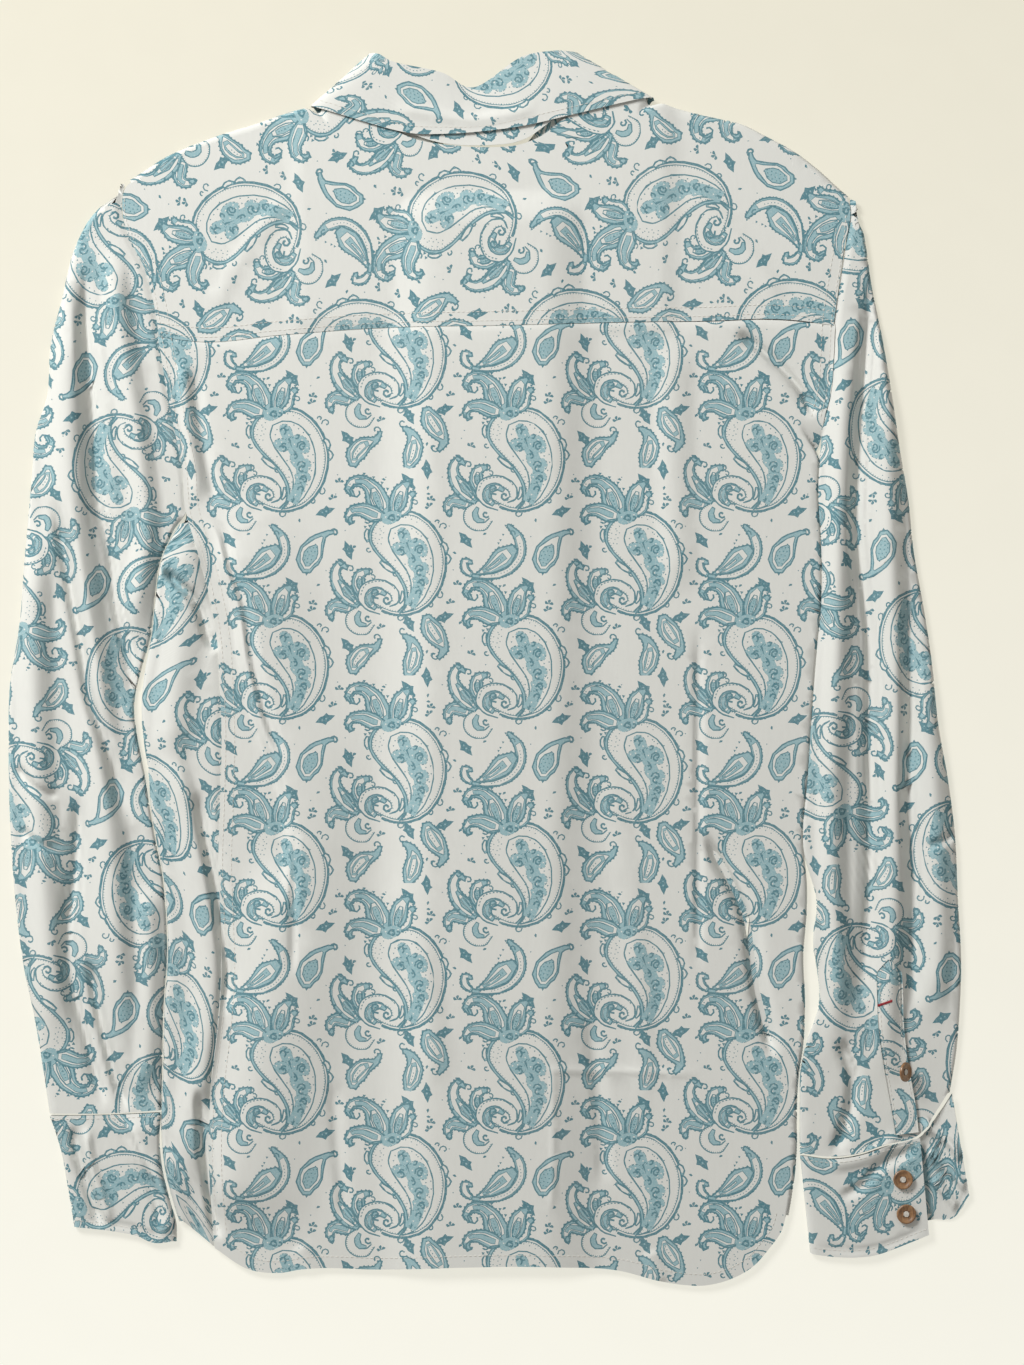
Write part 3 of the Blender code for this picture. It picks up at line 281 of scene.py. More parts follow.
# Right sleeve placket: along its middle, from the point down to the cuff, with its half width
PlacketRow = namedtuple("PlacketRow", "x y half")
PLACKET = [PlacketRow(*row) for row in [
    (243.5, -178, 0.8), (243.5, -186, 7.4), (244.0, -200, 7.5), (244.5, -216, 7.5),
    (246.5, -234, 7.5), (249.5, -252, 7.5), (252.5, -269, 7.5), (254.5, -284, 7.0),
]]

# -------------------- measures of the cloth and the camera
BACK_BREADTH = 395.0
YOKE_DEPTH = 125.0
FRONT_BREADTH = 210.0
SLEEVE_BREADTH = 70.0
PLACKET_LIFT = 1.35     # how high the placket stands on its sleeve
FRONT_GRID = 5.0        # spacing across the fronts, which lie flat and hidden
SLEEVE_GRID = 1.7
CAMERA = (14.2, -8.8, 2500.0)
PICTURE_HEIGHT = 832.65     # how much of the table the camera sees from hem to collar
# The lamp, beyond the left shoulder, and the room's own light; metres and watts
LAMP_PLACE, LAMP_SIZE, LAMP_POWER = (-1.5, 1.6, 1.55), 0.9, 69.0
ROOM_LIGHT, ROOM_STRENGTH = (1, 0.98, 0.95, 1), 0.32
TABLE_HALF = 3
PRINT_SLACK = 0.3       # how far a printed edge may be off its curve
BEND_SHOWS = 0.08       # a net's points stay where the cloth bends by more
SCATTER = 6             # and one in this many stays either way across and along
SLEEVE_POINT = 11       # rows of a sleeve, at its top, that are too narrow to give its way across
ROLL_ROOM = 12.0        # a sleeve narrower than this rolls in proportion
PINCH = -2.1            # depth of the sharp floor of a valley
LAP = 0.9               # how far a sewn panel laps over its neighbour
UNDERARM_CURL = 9.0     # the left front rolls up within this below the underarm
FOLD_SHADE = 2.2        # how much deeper the folds shade than they lie
TURNED_OUT = 266.0      # the right cuff shows its inner side past here


# -------------------- lines
def unit(vectors):
    return vectors / np.linalg.norm(vectors, axis=-1, keepdims=True)


def gone(points):
    """The way gone along a row of points, up to each."""
    return np.concatenate([[0], np.cumsum(np.linalg.norm(np.diff(points, axis=0), axis=1))])


class Line:
    """A smooth line through a table's points, read by fractions of its length."""

    SAMPLES = 24

    def __init__(self, points):
        points = np.array(points, float)
        reach = np.linalg.norm(np.diff(points, axis=0), axis=1)
        slope = np.diff(points, axis=0) / reach[:, None]
        turning = slope[:-1] * reach[1:, None] + slope[1:] * reach[:-1, None]
        turning /= (reach[1:] + reach[:-1])[:, None]
        tangent = np.vstack([slope[:1], turning, slope[-1:]])
        t = np.linspace(0, 1, self.SAMPLES, endpoint=False)[:, None]
        runs = []
        ends = zip(points[:-1], points[1:], tangent[:-1], tangent[1:], reach)
        for start, end, leave, arrive, length in ends:
            runs.append(start * (1 + 2 * t) * (1 - t) ** 2 + end * t * t * (3 - 2 * t)
                        + length * (leave * t * (1 - t) ** 2 - arrive * t * t * (1 - t)))
        self.points = np.vstack(runs + [points[-1:]])
        self.reach = gone(self.points)
        self.length = self.reach[-1]

    def at(self, fraction):
        where = np.clip(fraction, 0, 1) * self.length
        return np.stack([np.interp(where, self.reach, axis) for axis in self.points.T], axis=-1)

    def normal(self, fraction):
        """Unit vectors square to the line, to the left of its run."""
        small = 1.5 / self.length
        along = unit(self.at(np.add(fraction, small)) - self.at(np.subtract(fraction, small)))
        return np.stack([-along[..., 1], along[..., 0]], axis=-1)

    def between(self, start, end, fraction):
        """Fractions spread over the stretch that lies nearest to two points."""
        first, last = (self.reach[np.hypot(*(self.points - place).T).argmin()] for place in (start, end))
        return (first + (last - first) * np.asarray(fraction)) / self.length


def joined(*tables):
    """One line through several tables, each starting where the last one ends."""
    points = list(tables[0])
    for table in tables[1:]:
        points += table[1:]
    return Line(points)


def moved(line, distance):
    """A line beside another, a distance to the left of its run."""
    fraction = np.linspace(0, 1, 60)
    return Line(line.at(fraction) + distance * line.normal(fraction))


def smooth(value):
    value = np.clip(value, 0, 1)
    return value * value * (3 - 2 * value)


def larger(a, b):
    """The larger of two heights, with a rounded meeting."""
    part = np.clip(0.5 + 0.5 * (a - b) / BLEND, 0, 1)
    return b * (1 - part) + a * part + BLEND * part * (1 - part)


# -------------------- height of the two layers
FOLD_END = 0.16         # part of a fold's length over which it dies away


def as_lines(folds, count):
    return [(fold, Line(fold.path).at(np.linspace(0, 1, count))) for fold in folds]


def folds_height(x, y, lines, end):
    """What a list of folds adds to the top layer at a point."""
    total = np.zeros(np.shape(x))
    for fold, path in lines:
        reach = max(fold.west, fold.east)
        (west, south), (east, north) = path.min(axis=0) - reach, path.max(axis=0) + reach
        near = (x > west) & (x < east) & (y > south) & (y < north)
        if not near.any():
            continue
        place = np.column_stack([x[near], y[near]])
        run = np.diff(path, axis=0)
        offset = place[:, None] - path[None, :-1]
        part = np.clip((offset * run).sum(axis=2) / (run * run).sum(axis=1), 0, 1)
        offset -= part[..., None] * run
        distance = np.hypot(offset[..., 0], offset[..., 1])
        nearest = distance.argmin(axis=1)
        each = np.arange(len(place))
        spread = np.where(offset[each, nearest, 0] < 0, fold.west, fold.east)
        along = (nearest + part[each, nearest]) / len(run)
        profile = np.clip(1 - (distance[each, nearest] / spread) ** 2, 0, 1) ** 2
        ends = smooth(along / end) * smooth((1 - along) / end) if end else 1
        total[near] += fold.height * profile * ends
    return total


FOLD_LINES = as_lines(FOLDS, 36)


def collar_share(x, y):
    """1 where the collar's points lie underneath, falling to 0 round them."""
    across = np.minimum(x - COLLAR_WEST, COLLAR_EAST - x)
    return smooth(across / COLLAR_RAMP + 1) * smooth((y - COLLAR_SOUTH) / COLLAR_RAMP + 1)


def top(x, y):
    """Middle of the top layer's wall."""
    ridge = smooth((RIDGE_FOOT - np.abs(x)) / (RIDGE_FOOT - RIDGE_FLAT))
    ridge *= smooth((RIDGE_TOP - y) / RIDGE_END)
    base = TOP_MID + np.maximum(RIDGE_HEIGHT * ridge, COLLAR_RISE * collar_share(x, y))
    lowest = UNDER_MID + LAYERS_CLOSE + COLLAR_LIFT * collar_share(x, y)
    return larger(base + folds_height(x, y, FOLD_LINES, FOLD_END), lowest)


def under_over(x, y, share, lift):
    """Middle of the under layer's wall where something under it lifts it, up to the band's head."""
    share = share * smooth((BAND_TOP + BAND_END - y) / BAND_END)
    rest = UNDER_MID + np.maximum(lift * share, COLLAR_LIFT * collar_share(x, y))
    return np.maximum(rest, top(x, y) - LAYERS_APART)


def under(x, y):
    """Middle of the under layer's wall: on the table, but for what lies under it."""
    band = smooth((BAND_HALF + BAND_RAMP - np.abs(x)) / BAND_RAMP)
    return under_over(x, y, band, BAND_LIFT)


def under_left(x, y):
    """The under layer of the left front, which goes over the front band."""
    return under_over(x, y, smooth((x - LAP_START) / BAND_RAMP), BAND_LIFT + FACED + STEP)


# -------------------- fine creases
# Same columns as the folds, for what is too fine for the solids: pressed lines, seams, pinches.
CREASES = [Fold(*row) for row in [
    ("pressed line across", 0.45, 3, 3, [(30, -245), (60, -246), (100, -247), (130, -249)]),
    ("pressed line down", 0.45, 3, 3, [(39, -240), (39, -290), (38, -335)]),
    ("left dart", -1.0, 5, 3, [(-124, -80), (-119.5, -100), (-118.5, -150), (-119, -190)]),
    ("right dart", -1.0, 3, 5, [(127, 30), (127, -40), (127, -90), (127, -150), (127, -190)]),
    ("armhole pucker", 1.3, 5, 5, [(-187, 190), (-184, 150), (-179, 118), (-176, 98)]),
    ("beside the pucker", -1.4, 4, 6, [(-180, 184), (-176, 150), (-171, 118), (-166, 96)]),
    ("drape edge", -2.0, 4, 5, [(-173, 95), (-163, 83), (-157, 60), (-150, 41), (-144, 5), (-139, -17),
        (-131, -43), (-122, -61)]),
    ("hip valley", -1.8, 5, 6, [(128, -98), (142, -124), (156, -151), (163, -191), (174, -240)]),
    ("left press", 0.3, 14, 14, [(-36, 205), (-36, 50), (-38, -100), (-37, -300)]),
    ("right press", 0.3, 14, 14, [(43, 205), (44, 50), (42, -100), (41, -230)]),
    ("hip pull", 0.6, 10, 12, [(-60, -120), (-40, -190), (-30, -260)]),
    ("waist pull", 0.5, 12, 10, [(70, -60), (84, -120), (92, -200), (96, -280)]),
    ("roll in the hem", 0.7, 8, 8, [(-116, -352), (-112, -362), (-108, -372)]),
    ("second roll in the hem", 0.7, 8, 8, [(98, -355), (101, -366), (104, -376)]),
    ("hem pull", -0.8, 5, 7, [(-96, -250), (-92, -300), (-88, -340)]),
    ("low back pull", -0.8, 6, 8, [(60, -210), (66, -260), (70, -320)]),
    ("elbow pinch", -1.5, 4, 4, [(-288, -60), (-276, -74), (-262, -80)]),
    ("second elbow pinch", -1.3, 4, 4, [(-286, -98), (-274, -108), (-262, -112)]),
    ("right elbow pinch", -1.4, 4, 4, [(290, -92), (280, -104), (266, -110)]),
    ("shoulder pull", 0.5, 9, 9, [(-120, 290), (-150, 250), (-170, 215)]),
    ("right shoulder pull", 0.5, 9, 9, [(120, 296), (150, 262), (180, 222)]),
    ("left cuff crease", -2.2, 4, 5, [(-254, -278), (-251, -296), (-244, -320), (-236, -342)]),
    ("left cuff ridge", 1.6, 4, 4, [(-245, -278), (-243, -300), (-236, -322), (-229, -342)]),
    ("left cuff lap", -2.2, 5, 3, [(-222, -276), (-213, -300), (-206, -312), (-200, -330), (-199, -346)]),
    ("right cuff crease", -1.5, 4, 5, [(212, -323), (226, -317), (238, -304), (252, -297), (262, -291)]),
    ("right cuff puff", 1.2, 6, 6, [(206, -303), (222, -301), (236, -296), (250, -284)]),
    ("flap crumple", 2.2, 3, 4, [(262, -277), (272, -284), (280, -290), (288, -302)]),
    ("second flap crumple", 2.2, 3, 4, [(266, -294), (276, -303), (284, -310), (291, -320)]),
    ("third flap crumple", 2.0, 3, 4, [(270, -312), (278, -321), (286, -331)]),
    ("right cuff hem", -0.6, 2.2, 2.2, [(199, -353), (213, -354.5), (226, -355), (240, -352.5),
        (266, -341.5)]),
    ("left cuff hem", -0.6, 2.2, 2.2, [(-251, -336), (-228, -339.5), (-214, -342.5), (-205, -346),
        (-193, -345)]),
    ("fall crease", 0.6, 5, 6, [(-60, 341), (-35, 336), (-13, 333), (10, 336), (32, 341)]),
]]
# where one panel is tucked under the next at a seam
TUCKS = {
    "back": [Fold("under the yoke", -0.45, 4, 4, YOKE_SEAM)],
    "front_left": [Fold("side seam", -0.6, 3.5, 3.5, SIDE_SEAM)],
    "sleeve_left": [Fold("armhole", -0.75, 4, 4, ARMHOLE_LEFT)],
    "sleeve_right": [Fold("armhole", -0.75, 4, 4, ARMHOLE_RIGHT)],
}


# every valley of the solids is pinched along its floor
PINCHES = [Fold(fold.name, PINCH, 3.6, 3.2, fold.path) for fold in FOLDS if fold.height < 0]


CREASE_LINES = as_lines(CREASES + PINCHES, 48)
TUCK_LINES = {node: as_lines(tucks, 48) for node, tucks in TUCKS.items()}


def crease_height(x, y, node=""):
    """What the fine creases and the tucks at the seams add to a panel's upper side."""
    return folds_height(x, y, CREASE_LINES, FOLD_END) + folds_height(x, y, TUCK_LINES.get(node, []), 0)


# -------------------- nets
def skin_top(x, y):
    return top(x, y) + SKIN


def skin_under(x, y):
    return under(x, y) - SKIN


def skin_under_left(x, y):
    return under_left(x, y) - SKIN


Net = namedtuple("Net", "points flat")


def laid_flat(points, flat_from, flat_to, reference):
    """A net with its cloth coordinates: the plan where it lies flat, lengths along the cloth past a fold."""
    plan = points[..., :2]
    step = np.linalg.norm(np.diff(points, axis=1), axis=2, keepdims=True)
    way = np.diff(plan, axis=1)
    way = way / np.maximum(np.linalg.norm(way, axis=2, keepdims=True), 1e-9)
    way[:, :flat_from] = way[:, flat_from:flat_from + 1]
    way[:, flat_to:] = way[:, flat_to - 1:flat_to]
    run = np.concatenate([np.zeros_like(plan[:, :1]), np.cumsum(way * step, axis=1)], axis=1)
    return Net(points, run + (plan[:, reference] - run[:, reference])[:, None])


def banded(points):
    """A net with its cloth coordinates for a band: lengths along its middle, and up from its first edge."""
    along = gone(points[len(points) // 2])
    up = np.concatenate([np.zeros((1, points.shape[1])),
                         np.cumsum(np.linalg.norm(np.diff(points, axis=0), axis=2), axis=0)])
    return Net(points, np.dstack([np.broadcast_to(along, up.shape), up]))


def rolled_edge(edge, outward, height, other, curl, end, steps_flat, room=1.0):
    """Columns past a folded edge: half a turn to the other layer, then flat to an end line."""
    room = np.broadcast_to(room, len(edge))[:, None]
    inset = edge - outward * EDGE_WALL / 2 * room
    radius = np.abs(height(*inset.T) - other(*inset.T)) / 2 * room[:, 0]
    centre = inset - outward * radius[:, None]
    z_this, z_other = height(*centre.T), other(*centre.T)
    turned = []
    for step in range(ROLL_STEPS + 1):
        angle = math.pi * step / ROLL_STEPS
        place = centre + outward * (radius * math.sin(angle))[:, None]
        z = (z_this + z_other) / 2 + (z_this - z_other) / 2 * math.cos(angle)
        turned.append(np.column_stack([place, z]))
    for step in range(1, steps_flat + 1):
        place = centre + (end - centre) * step / steps_flat
        turned.append(np.column_stack([place, other(*place.T)]))
    columns = []
    last = ROLL_STEPS + steps_flat
    for index, rolled in enumerate(turned):
        place = edge - outward * SQUEEZE * (last - index) * room
        flat = np.column_stack([place, height(*place.T)])
        columns.append(flat + (rolled - flat) * curl[:, None])
    return columns


def patch(left, right, head, foot, rows, columns):
    """A net of (x, y) points between four lines; left and right are rows of points."""
    u = columns[None, :, None]
    v = rows[:, None, None]
    head_points = head.at(head.between(left[0], right[0], columns))[None]
    foot_points = foot.at(foot.between(left[-1], right[-1], columns))[None]
    head_points = head_points + (left[0] - head_points[:, 0]) * (1 - u)
    head_points = head_points + (right[0] - head_points[:, -1]) * u
    foot_points = foot_points + (left[-1] - foot_points[:, 0]) * (1 - u)
    foot_points = foot_points + (right[-1] - foot_points[:, -1]) * u
    ruled = left[:, None] * (1 - u) + right[:, None] * u
    lofted = head_points * (1 - v) + foot_points * v
    corners = ((left[0] * (1 - u) + right[0] * u) * (1 - v) + (left[-1] * (1 - u) + right[-1] * u) * v)
    return ruled + lofted - corners


def lifted(net, height):
    return np.dstack([net, height(net[..., 0], net[..., 1])])


def steps(length, spacing=GRID):
    """Shares of a length at about the net's spacing."""
    return np.linspace(0, 1, int(round(length / spacing)) + 1)


def panel_with_wrap(left, right, head, foot, rows, columns, height, other, curl, end, steps_flat,
                    outward_sign=1, room=1.0):
    """A panel on one layer that rolls over its right-hand line on to the other layer."""
    outward = right.normal(rows) * outward_sign
    past = rolled_edge(right.at(rows), outward, height, other, curl, end, steps_flat, room)
    net = patch(left.at(rows), past[0][:, :2], head, foot, rows, columns)
    points = np.concatenate([lifted(net, height)[:, :-1], np.stack(past, axis=1)], axis=1)
    return laid_flat(points, 0, len(columns) - 1, len(columns) // 2)


def back_net():
    left = moved(joined(ARMHOLE_LEFT[5:], SIDE_SEAM), -LAP)
    right = moved(joined(ARMHOLE_RIGHT[3:], BODY_RIGHT), LAP)
    rows = steps(right.length)
    edge = right.at(rows)
    below = edge[:, 1] - BODY_RIGHT[0][1]
    curl = smooth(-below / CURL_LENGTH)
    width = SIDE_WRAP * smooth(-below / WRAP_OPENS)
    end = edge + right.normal(rows) * -width[:, None]
    head = moved(Line(YOKE_SEAM), -SEAM / 2)
    return panel_with_wrap(left, right, head, Line(HEM_BACK), rows, steps(BACK_BREADTH), skin_top, skin_under,
                           curl, end, SIDE_COLUMNS)


def past_neck(share):
    """How far along the left and the right shoulder a place on the yoke's rim lies, below 0 at the neck."""
    length = joined(SHOULDER_LEFT, NECK_BACK, SHOULDER_RIGHT).length
    left = Line(SHOULDER_LEFT).length / length
    right = Line(SHOULDER_RIGHT).length / length
    return (left - share) / left, (share - 1 + right) / right


def yoke_net():
    seam = moved(Line(YOKE_SEAM), -LAP)
    rim = joined(SHOULDER_LEFT, NECK_BACK, SHOULDER_RIGHT)
    rows = steps(rim.length)
    past_left, past_right = past_neck(rows)
    end = rim.at(rows)
    end = np.where(past_left[:, None] > 0, Line(YOKE_UNDER_LEFT).at(past_left), end)
    end = np.where(past_right[:, None] > 0, Line(YOKE_UNDER_RIGHT).at(past_right), end)
    curl = smooth(np.maximum(past_left, past_right) / NECK_CURL)
    head = moved(Line(ARMHOLE_LEFT[:6][::-1] + SHOULDER_LEFT[:1]), LAP)
    foot = moved(Line(ARMHOLE_RIGHT[:4][::-1] + SHOULDER_RIGHT[-1:]), -LAP)
    return panel_with_wrap(seam, rim, head, foot, rows, steps(YOKE_DEPTH), skin_top, skin_under, curl, end,
                           SHOULDER_COLUMNS)


def front_left_net():
    centre = joined(NECK_LEFT_FRONT, [(FRONT_LAP, y) for y in (262, 254, 240, 100, -361)])
    side = moved(joined(ARMHOLE_LEFT[2:], BODY_LEFT), SEAM / 2)
    rows = steps(centre.length, 2.2)
    edge = side.at(rows)
    armhole_share = Line(ARMHOLE_LEFT[2:]).length / side.length
    past = (rows - armhole_share) / (1 - armhole_share)
    end = np.where(past[:, None] > 0, moved(Line(SIDE_SEAM), -SEAM / 2).at(past), edge)
    curl = smooth(past * side.length * (1 - armhole_share) / UNDERARM_CURL)
    room = np.clip(np.linalg.norm(end - edge, axis=1) / ROLL_ROOM, 0.04, 1)
    head = moved(Line(YOKE_UNDER_LEFT), 2 * SEAM)
    return panel_with_wrap(centre, side, head, Line(HEM_FRONT_LEFT), rows, steps(FRONT_BREADTH, FRONT_GRID),
                           skin_under_left, skin_top, curl, end, UNDERARM_COLUMNS, outward_sign=-1, room=room)


def front_right_net():
    inner = joined(NECK_RIGHT_FRONT, [(BAND_HALF + SEAM, y) for y in (264, 256, 240, 100, -361)])
    body = Line(BODY_RIGHT)
    fraction = np.linspace(0.02, 1, 40)
    edge = body.at(fraction)
    width = SIDE_WRAP * smooth((BODY_RIGHT[0][1] - edge[:, 1]) / WRAP_OPENS) + 2 * SEAM
    seam = edge - body.normal(fraction) * width[:, None]
    armhole = [(x - SEAM / 2, y) for x, y in ARMHOLE_RIGHT[1:]]
    side = Line(armhole + [tuple(point) for point in seam])
    rows = steps(side.length, 5)
    foot = Line(HEM_FRONT_RIGHT[:-1] + [tuple(seam[-1])])
    head = moved(Line(YOKE_UNDER_RIGHT), -2 * SEAM)
    net = patch(inner.at(rows), side.at(rows), head, foot, rows, steps(FRONT_BREADTH, FRONT_GRID))
    return laid_flat(lifted(net, skin_under), 0, net.shape[1] - 1, 0)


def front_band_net():
    rows, columns = steps(BAND_TOP - BAND_FOOT, 6), steps(2 * BAND_HALF, 6)
    x = -BAND_HALF + 2 * BAND_HALF * columns
    y = BAND_TOP + (BAND_FOOT - BAND_TOP) * rows
    points = np.zeros((len(y), len(x), 3)) + BAND_LIFT + FACED / 2 - SKIN
    points[..., 0], points[..., 1] = x, y[:, None]
    return laid_flat(points, 0, len(x) - 1, 0)


def sleeve_net(armhole, inner, outer, foot, side):
    """A sleeve: one panel round the flattened tube, its own seam under the inner edge."""
    inner_line = moved(joined(armhole, inner), -side * SEAM / 2)
    outer_line = Line(outer)
    underarm = Line(armhole).length / inner_line.length
    rows = steps(inner_line.length, SLEEVE_GRID)
    inner_points = inner_line.at(rows)
    outer_points = outer_line.at(rows)
    curl = smooth((rows - underarm) * inner_line.length / CURL_LENGTH)
    across = outer_points - inner_points
    room = np.clip(np.linalg.norm(across, axis=1) / ROLL_ROOM, 0.04, 1)
    across[:SLEEVE_POINT] = across[SLEEVE_POINT]
    across = unit(across)
    share = steps(SLEEVE_BREADTH, SLEEVE_GRID)
    inner_roll = rolled_edge(inner_points, -across, skin_top, skin_under, curl, inner_points, 0, room)
    outer_roll = rolled_edge(outer_points, across, skin_top, skin_under, np.ones(len(rows)), outer_points, 0,
                             room)
    top_net = patch(inner_roll[0][:, :2], outer_roll[0][:, :2], Line([inner_points[0], outer_points[0]]),
                    Line(foot), rows, share)
    seam_end = inner_roll[-1][:, :2] + across * SEAM
    under_net = patch(outer_roll[-1][:, :2], seam_end, Line([outer_points[0], inner_points[0]]),
                      Line(foot[::-1]), rows, share[::2] if len(share) % 2 else share)
    points = np.concatenate([np.stack(inner_roll[::-1], axis=1), lifted(top_net, skin_top)[:, 1:-1],
                             np.stack(outer_roll, axis=1), lifted(under_net, skin_under)[:, 1:]], axis=1)
    first = len(inner_roll) - 1
    return laid_flat(points, first, first + len(share) - 1, first + len(share) // 2)


def sleeve_left_net():
    foot = [SLEEVE_INNER_LEFT[-1], (-234, -272), SLEEVE_OUTER_LEFT[-1]]
    return sleeve_net(ARMHOLE_LEFT, SLEEVE_INNER_LEFT, SLEEVE_OUTER_LEFT, foot, 1)


def sleeve_right_net():
    return sleeve_net(ARMHOLE_RIGHT, SLEEVE_INNER_RIGHT, SLEEVE_OUTER_RIGHT, SLEEVE_FOOT_RIGHT, -1)


def lofted_band(sections, rows, lowest, finer):
    """A strip between the two edges of a table of sections, with so many columns for each of its steps."""
    first = np.array([section[1:4] for section in sections], float)
    second = np.array([section[4:7] for section in sections], float)
    columns = []
    for index, section in enumerate(sections):
        count = section.steps * finer or 1
        columns += [index + step / count for step in range(count)]
    places = np.array(columns)

    def through(points):
        before = np.vstack([points[:1], points, points[-1:]])
        tangent = (before[2:] - before[:-2]) / 2
        index = np.minimum(places.astype(int), len(points) - 2)
        t = (places - index)[:, None]
        start, end, leave, arrive = points[index], points[index + 1], tangent[index], tangent[index + 1]
        return (start * (1 + 2 * t) * (1 - t) ** 2 + end * t * t * (3 - 2 * t)
                + leave * t * (1 - t) ** 2 - arrive * t * t * (1 - t))

    share = rows[:, None, None]
    points = through(first)[None] * (1 - share) + through(second)[None] * share
    points[..., 2] = np.maximum(points[..., 2], lowest)
    return points


def pushed(points, distance):
    """A net moved along its own normals."""
    return points + normals_of(points) * distance


def normals_of(points):
    along = np.gradient(points, axis=1)
    down = np.gradient(points, axis=0)
    normal = np.cross(along, down)
    return normal / np.maximum(np.linalg.norm(normal, axis=2, keepdims=True), 1e-9)


# -------------------- print: shapes
# A drawing is a list of (tone, polygon); where two overlap, the later one shows.
GROUND, WASH, INK = 0, 1, 2
REPEAT = (144.0, 126.3)
COLUMN = 72.0           # from one column of large paisleys to the next
DROP = -63.2            # and how far it hangs lower
LEAF_SIZE = 6.4         # half the length of a pointed leaf
BEND_ERROR = 0.06       # how far a printed path's straight steps may stray from its curve


def left_of(path):
    """Unit vectors square to a path, to its left."""
    along = np.gradient(path, axis=0)
    along /= np.maximum(np.linalg.norm(along, axis=1, keepdims=True), 1e-9)
    return np.column_stack([-along[:, 1], along[:, 0]])


class Drawing:
    """Shapes of one motif in its own millimetres, in the order in which they are printed."""

    def __init__(self):
        self.shapes = []

    def path(self, points):
        """A smooth path through a few points, with steps that shorten where it bends."""
        line = Line(points)
        share = np.linspace(0, 1, 200)
        heading = np.unwrap(np.arctan2(*line.normal(share).T))
        bend = np.abs(np.gradient(heading)) / (line.length / 200)
        pace = np.sqrt(np.maximum(bend, 1 / 40) / (8 * BEND_ERROR))
        run = np.concatenate([[0], np.cumsum((pace[1:] + pace[:-1]) / 2)]) * line.length / 199
        count = max(3, int(round(run[-1])) + 1)
        return line.at(np.interp(np.linspace(0, run[-1], count), run, share))

    def fill(self, outline, tone):
        outline = np.asarray(outline, float)
        x, y = outline.T
        clockwise = (x * np.roll(y, -1) - y * np.roll(x, -1)).sum() < 0
        self.shapes.append((tone, outline[::-1] if clockwise else outline))

    def stroke(self, path, width, tone=INK):
        path = np.asarray(path, float)
        side = left_of(path) * (width / 2)
        left, right = path + side, path - side
        for index in range(len(path) - 1):
            quad = [right[index], right[index + 1], left[index + 1], left[index]]
            self.shapes.append((tone, np.array(quad)))

    def closed(self, outline, width, fill):
        self.fill(outline, fill)
        self.stroke(np.vstack([outline, outline[:1]]), width)

    def dot(self, x, y, radius, tone=INK, sides=3):
        angles = np.linspace(0, 2 * math.pi, sides, endpoint=False) + 0.4
        self.fill(np.column_stack([x + radius * np.cos(angles), y + radius * np.sin(angles)]), tone)

    def along(self, path, pitch, offset=0.0):
        """Places and left-hand normals at an even pitch along a path, a distance off it."""
        line = Line(path)
        share = (np.arange(int(line.length / pitch)) + 0.5) * pitch / line.length
        normal = line.normal(share)
        return line.at(share) + offset * normal, normal

    def scallops(self, path, pitch, radius):
        """Small half rounds along the left of a path."""
        places, normals = self.along(path, pitch)
        for place, normal in zip(places, normals):
            across = np.array([normal[1], -normal[0]])
            turn = np.linspace(0, math.pi, 3)
            outline = place + radius * (np.cos(turn)[:, None] * across + np.sin(turn)[:, None] * normal)
            self.fill(outline, INK)

    def ticks(self, path, pitch, near, far, width=0.6):
        """Short strokes square to a path, between two distances off it."""
        places, normals = self.along(path, pitch)
        for place, normal in zip(places, normals):
            across = np.array([normal[1], -normal[0]]) * width / 2
            a, b = place + normal * near, place + normal * far
            self.fill([a + across, b, a - across], INK)

    def dots(self, places, radius, tone=INK):
        for x, y in places:
            self.dot(x, y, radius, tone)

    def beads(self, path, pitch, offset, radius):
        self.dots(self.along(path, pitch, offset)[0], radius)


def turned(shape, turn, centre=(0, 0)):
    """A shape turned by degrees about the origin, then moved."""
    angle = math.radians(turn)
    spin = np.array([[math.cos(angle), math.sin(angle)], [-math.sin(angle), math.cos(angle)]])
    return shape @ spin + centre


def petal_outline(base, tip, breadth, lean):
    """A drop from a base to a tip, broadest past its middle; lean bends it to the left."""
    base, tip = np.array(base, float), np.array(tip, float)
    run = tip - base
    normal = np.array([-run[1], run[0]])
    share = np.linspace(0, 1, 5)
    spread = np.sin(math.pi * share ** (math.log(0.5) / math.log(0.6))) ** 0.85
    middle = base + share[:, None] * run + (lean * np.sin(math.pi * share))[:, None] * normal
    half = breadth / 2 / np.linalg.norm(run) * spread[:, None] * normal
    return np.vstack([middle + half, (middle - half)[-2:0:-1]])


def horn(drawing, spine, widths, hatch):
    """A curling horn: two edges either side of a spine, hatched across, its end rolled in."""
    spine = drawing.path(spine)
    half = np.interp(np.linspace(0, 1, len(spine)), np.linspace(0, 1, len(widths)), widths)[:, None] / 2
    side = left_of(spine) * half
    left, right = spine + side, spine - side
    for index in range(len(spine) - 1):
        drawing.fill([right[index], right[index + 1], left[index + 1], left[index]], GROUND)
    drawing.stroke(left, 0.75)
    drawing.stroke(right, 0.75)
    drawing.ticks(right, hatch, 0.2, 1.25)
    drawing.scallops(left, 1.5, 0.62)


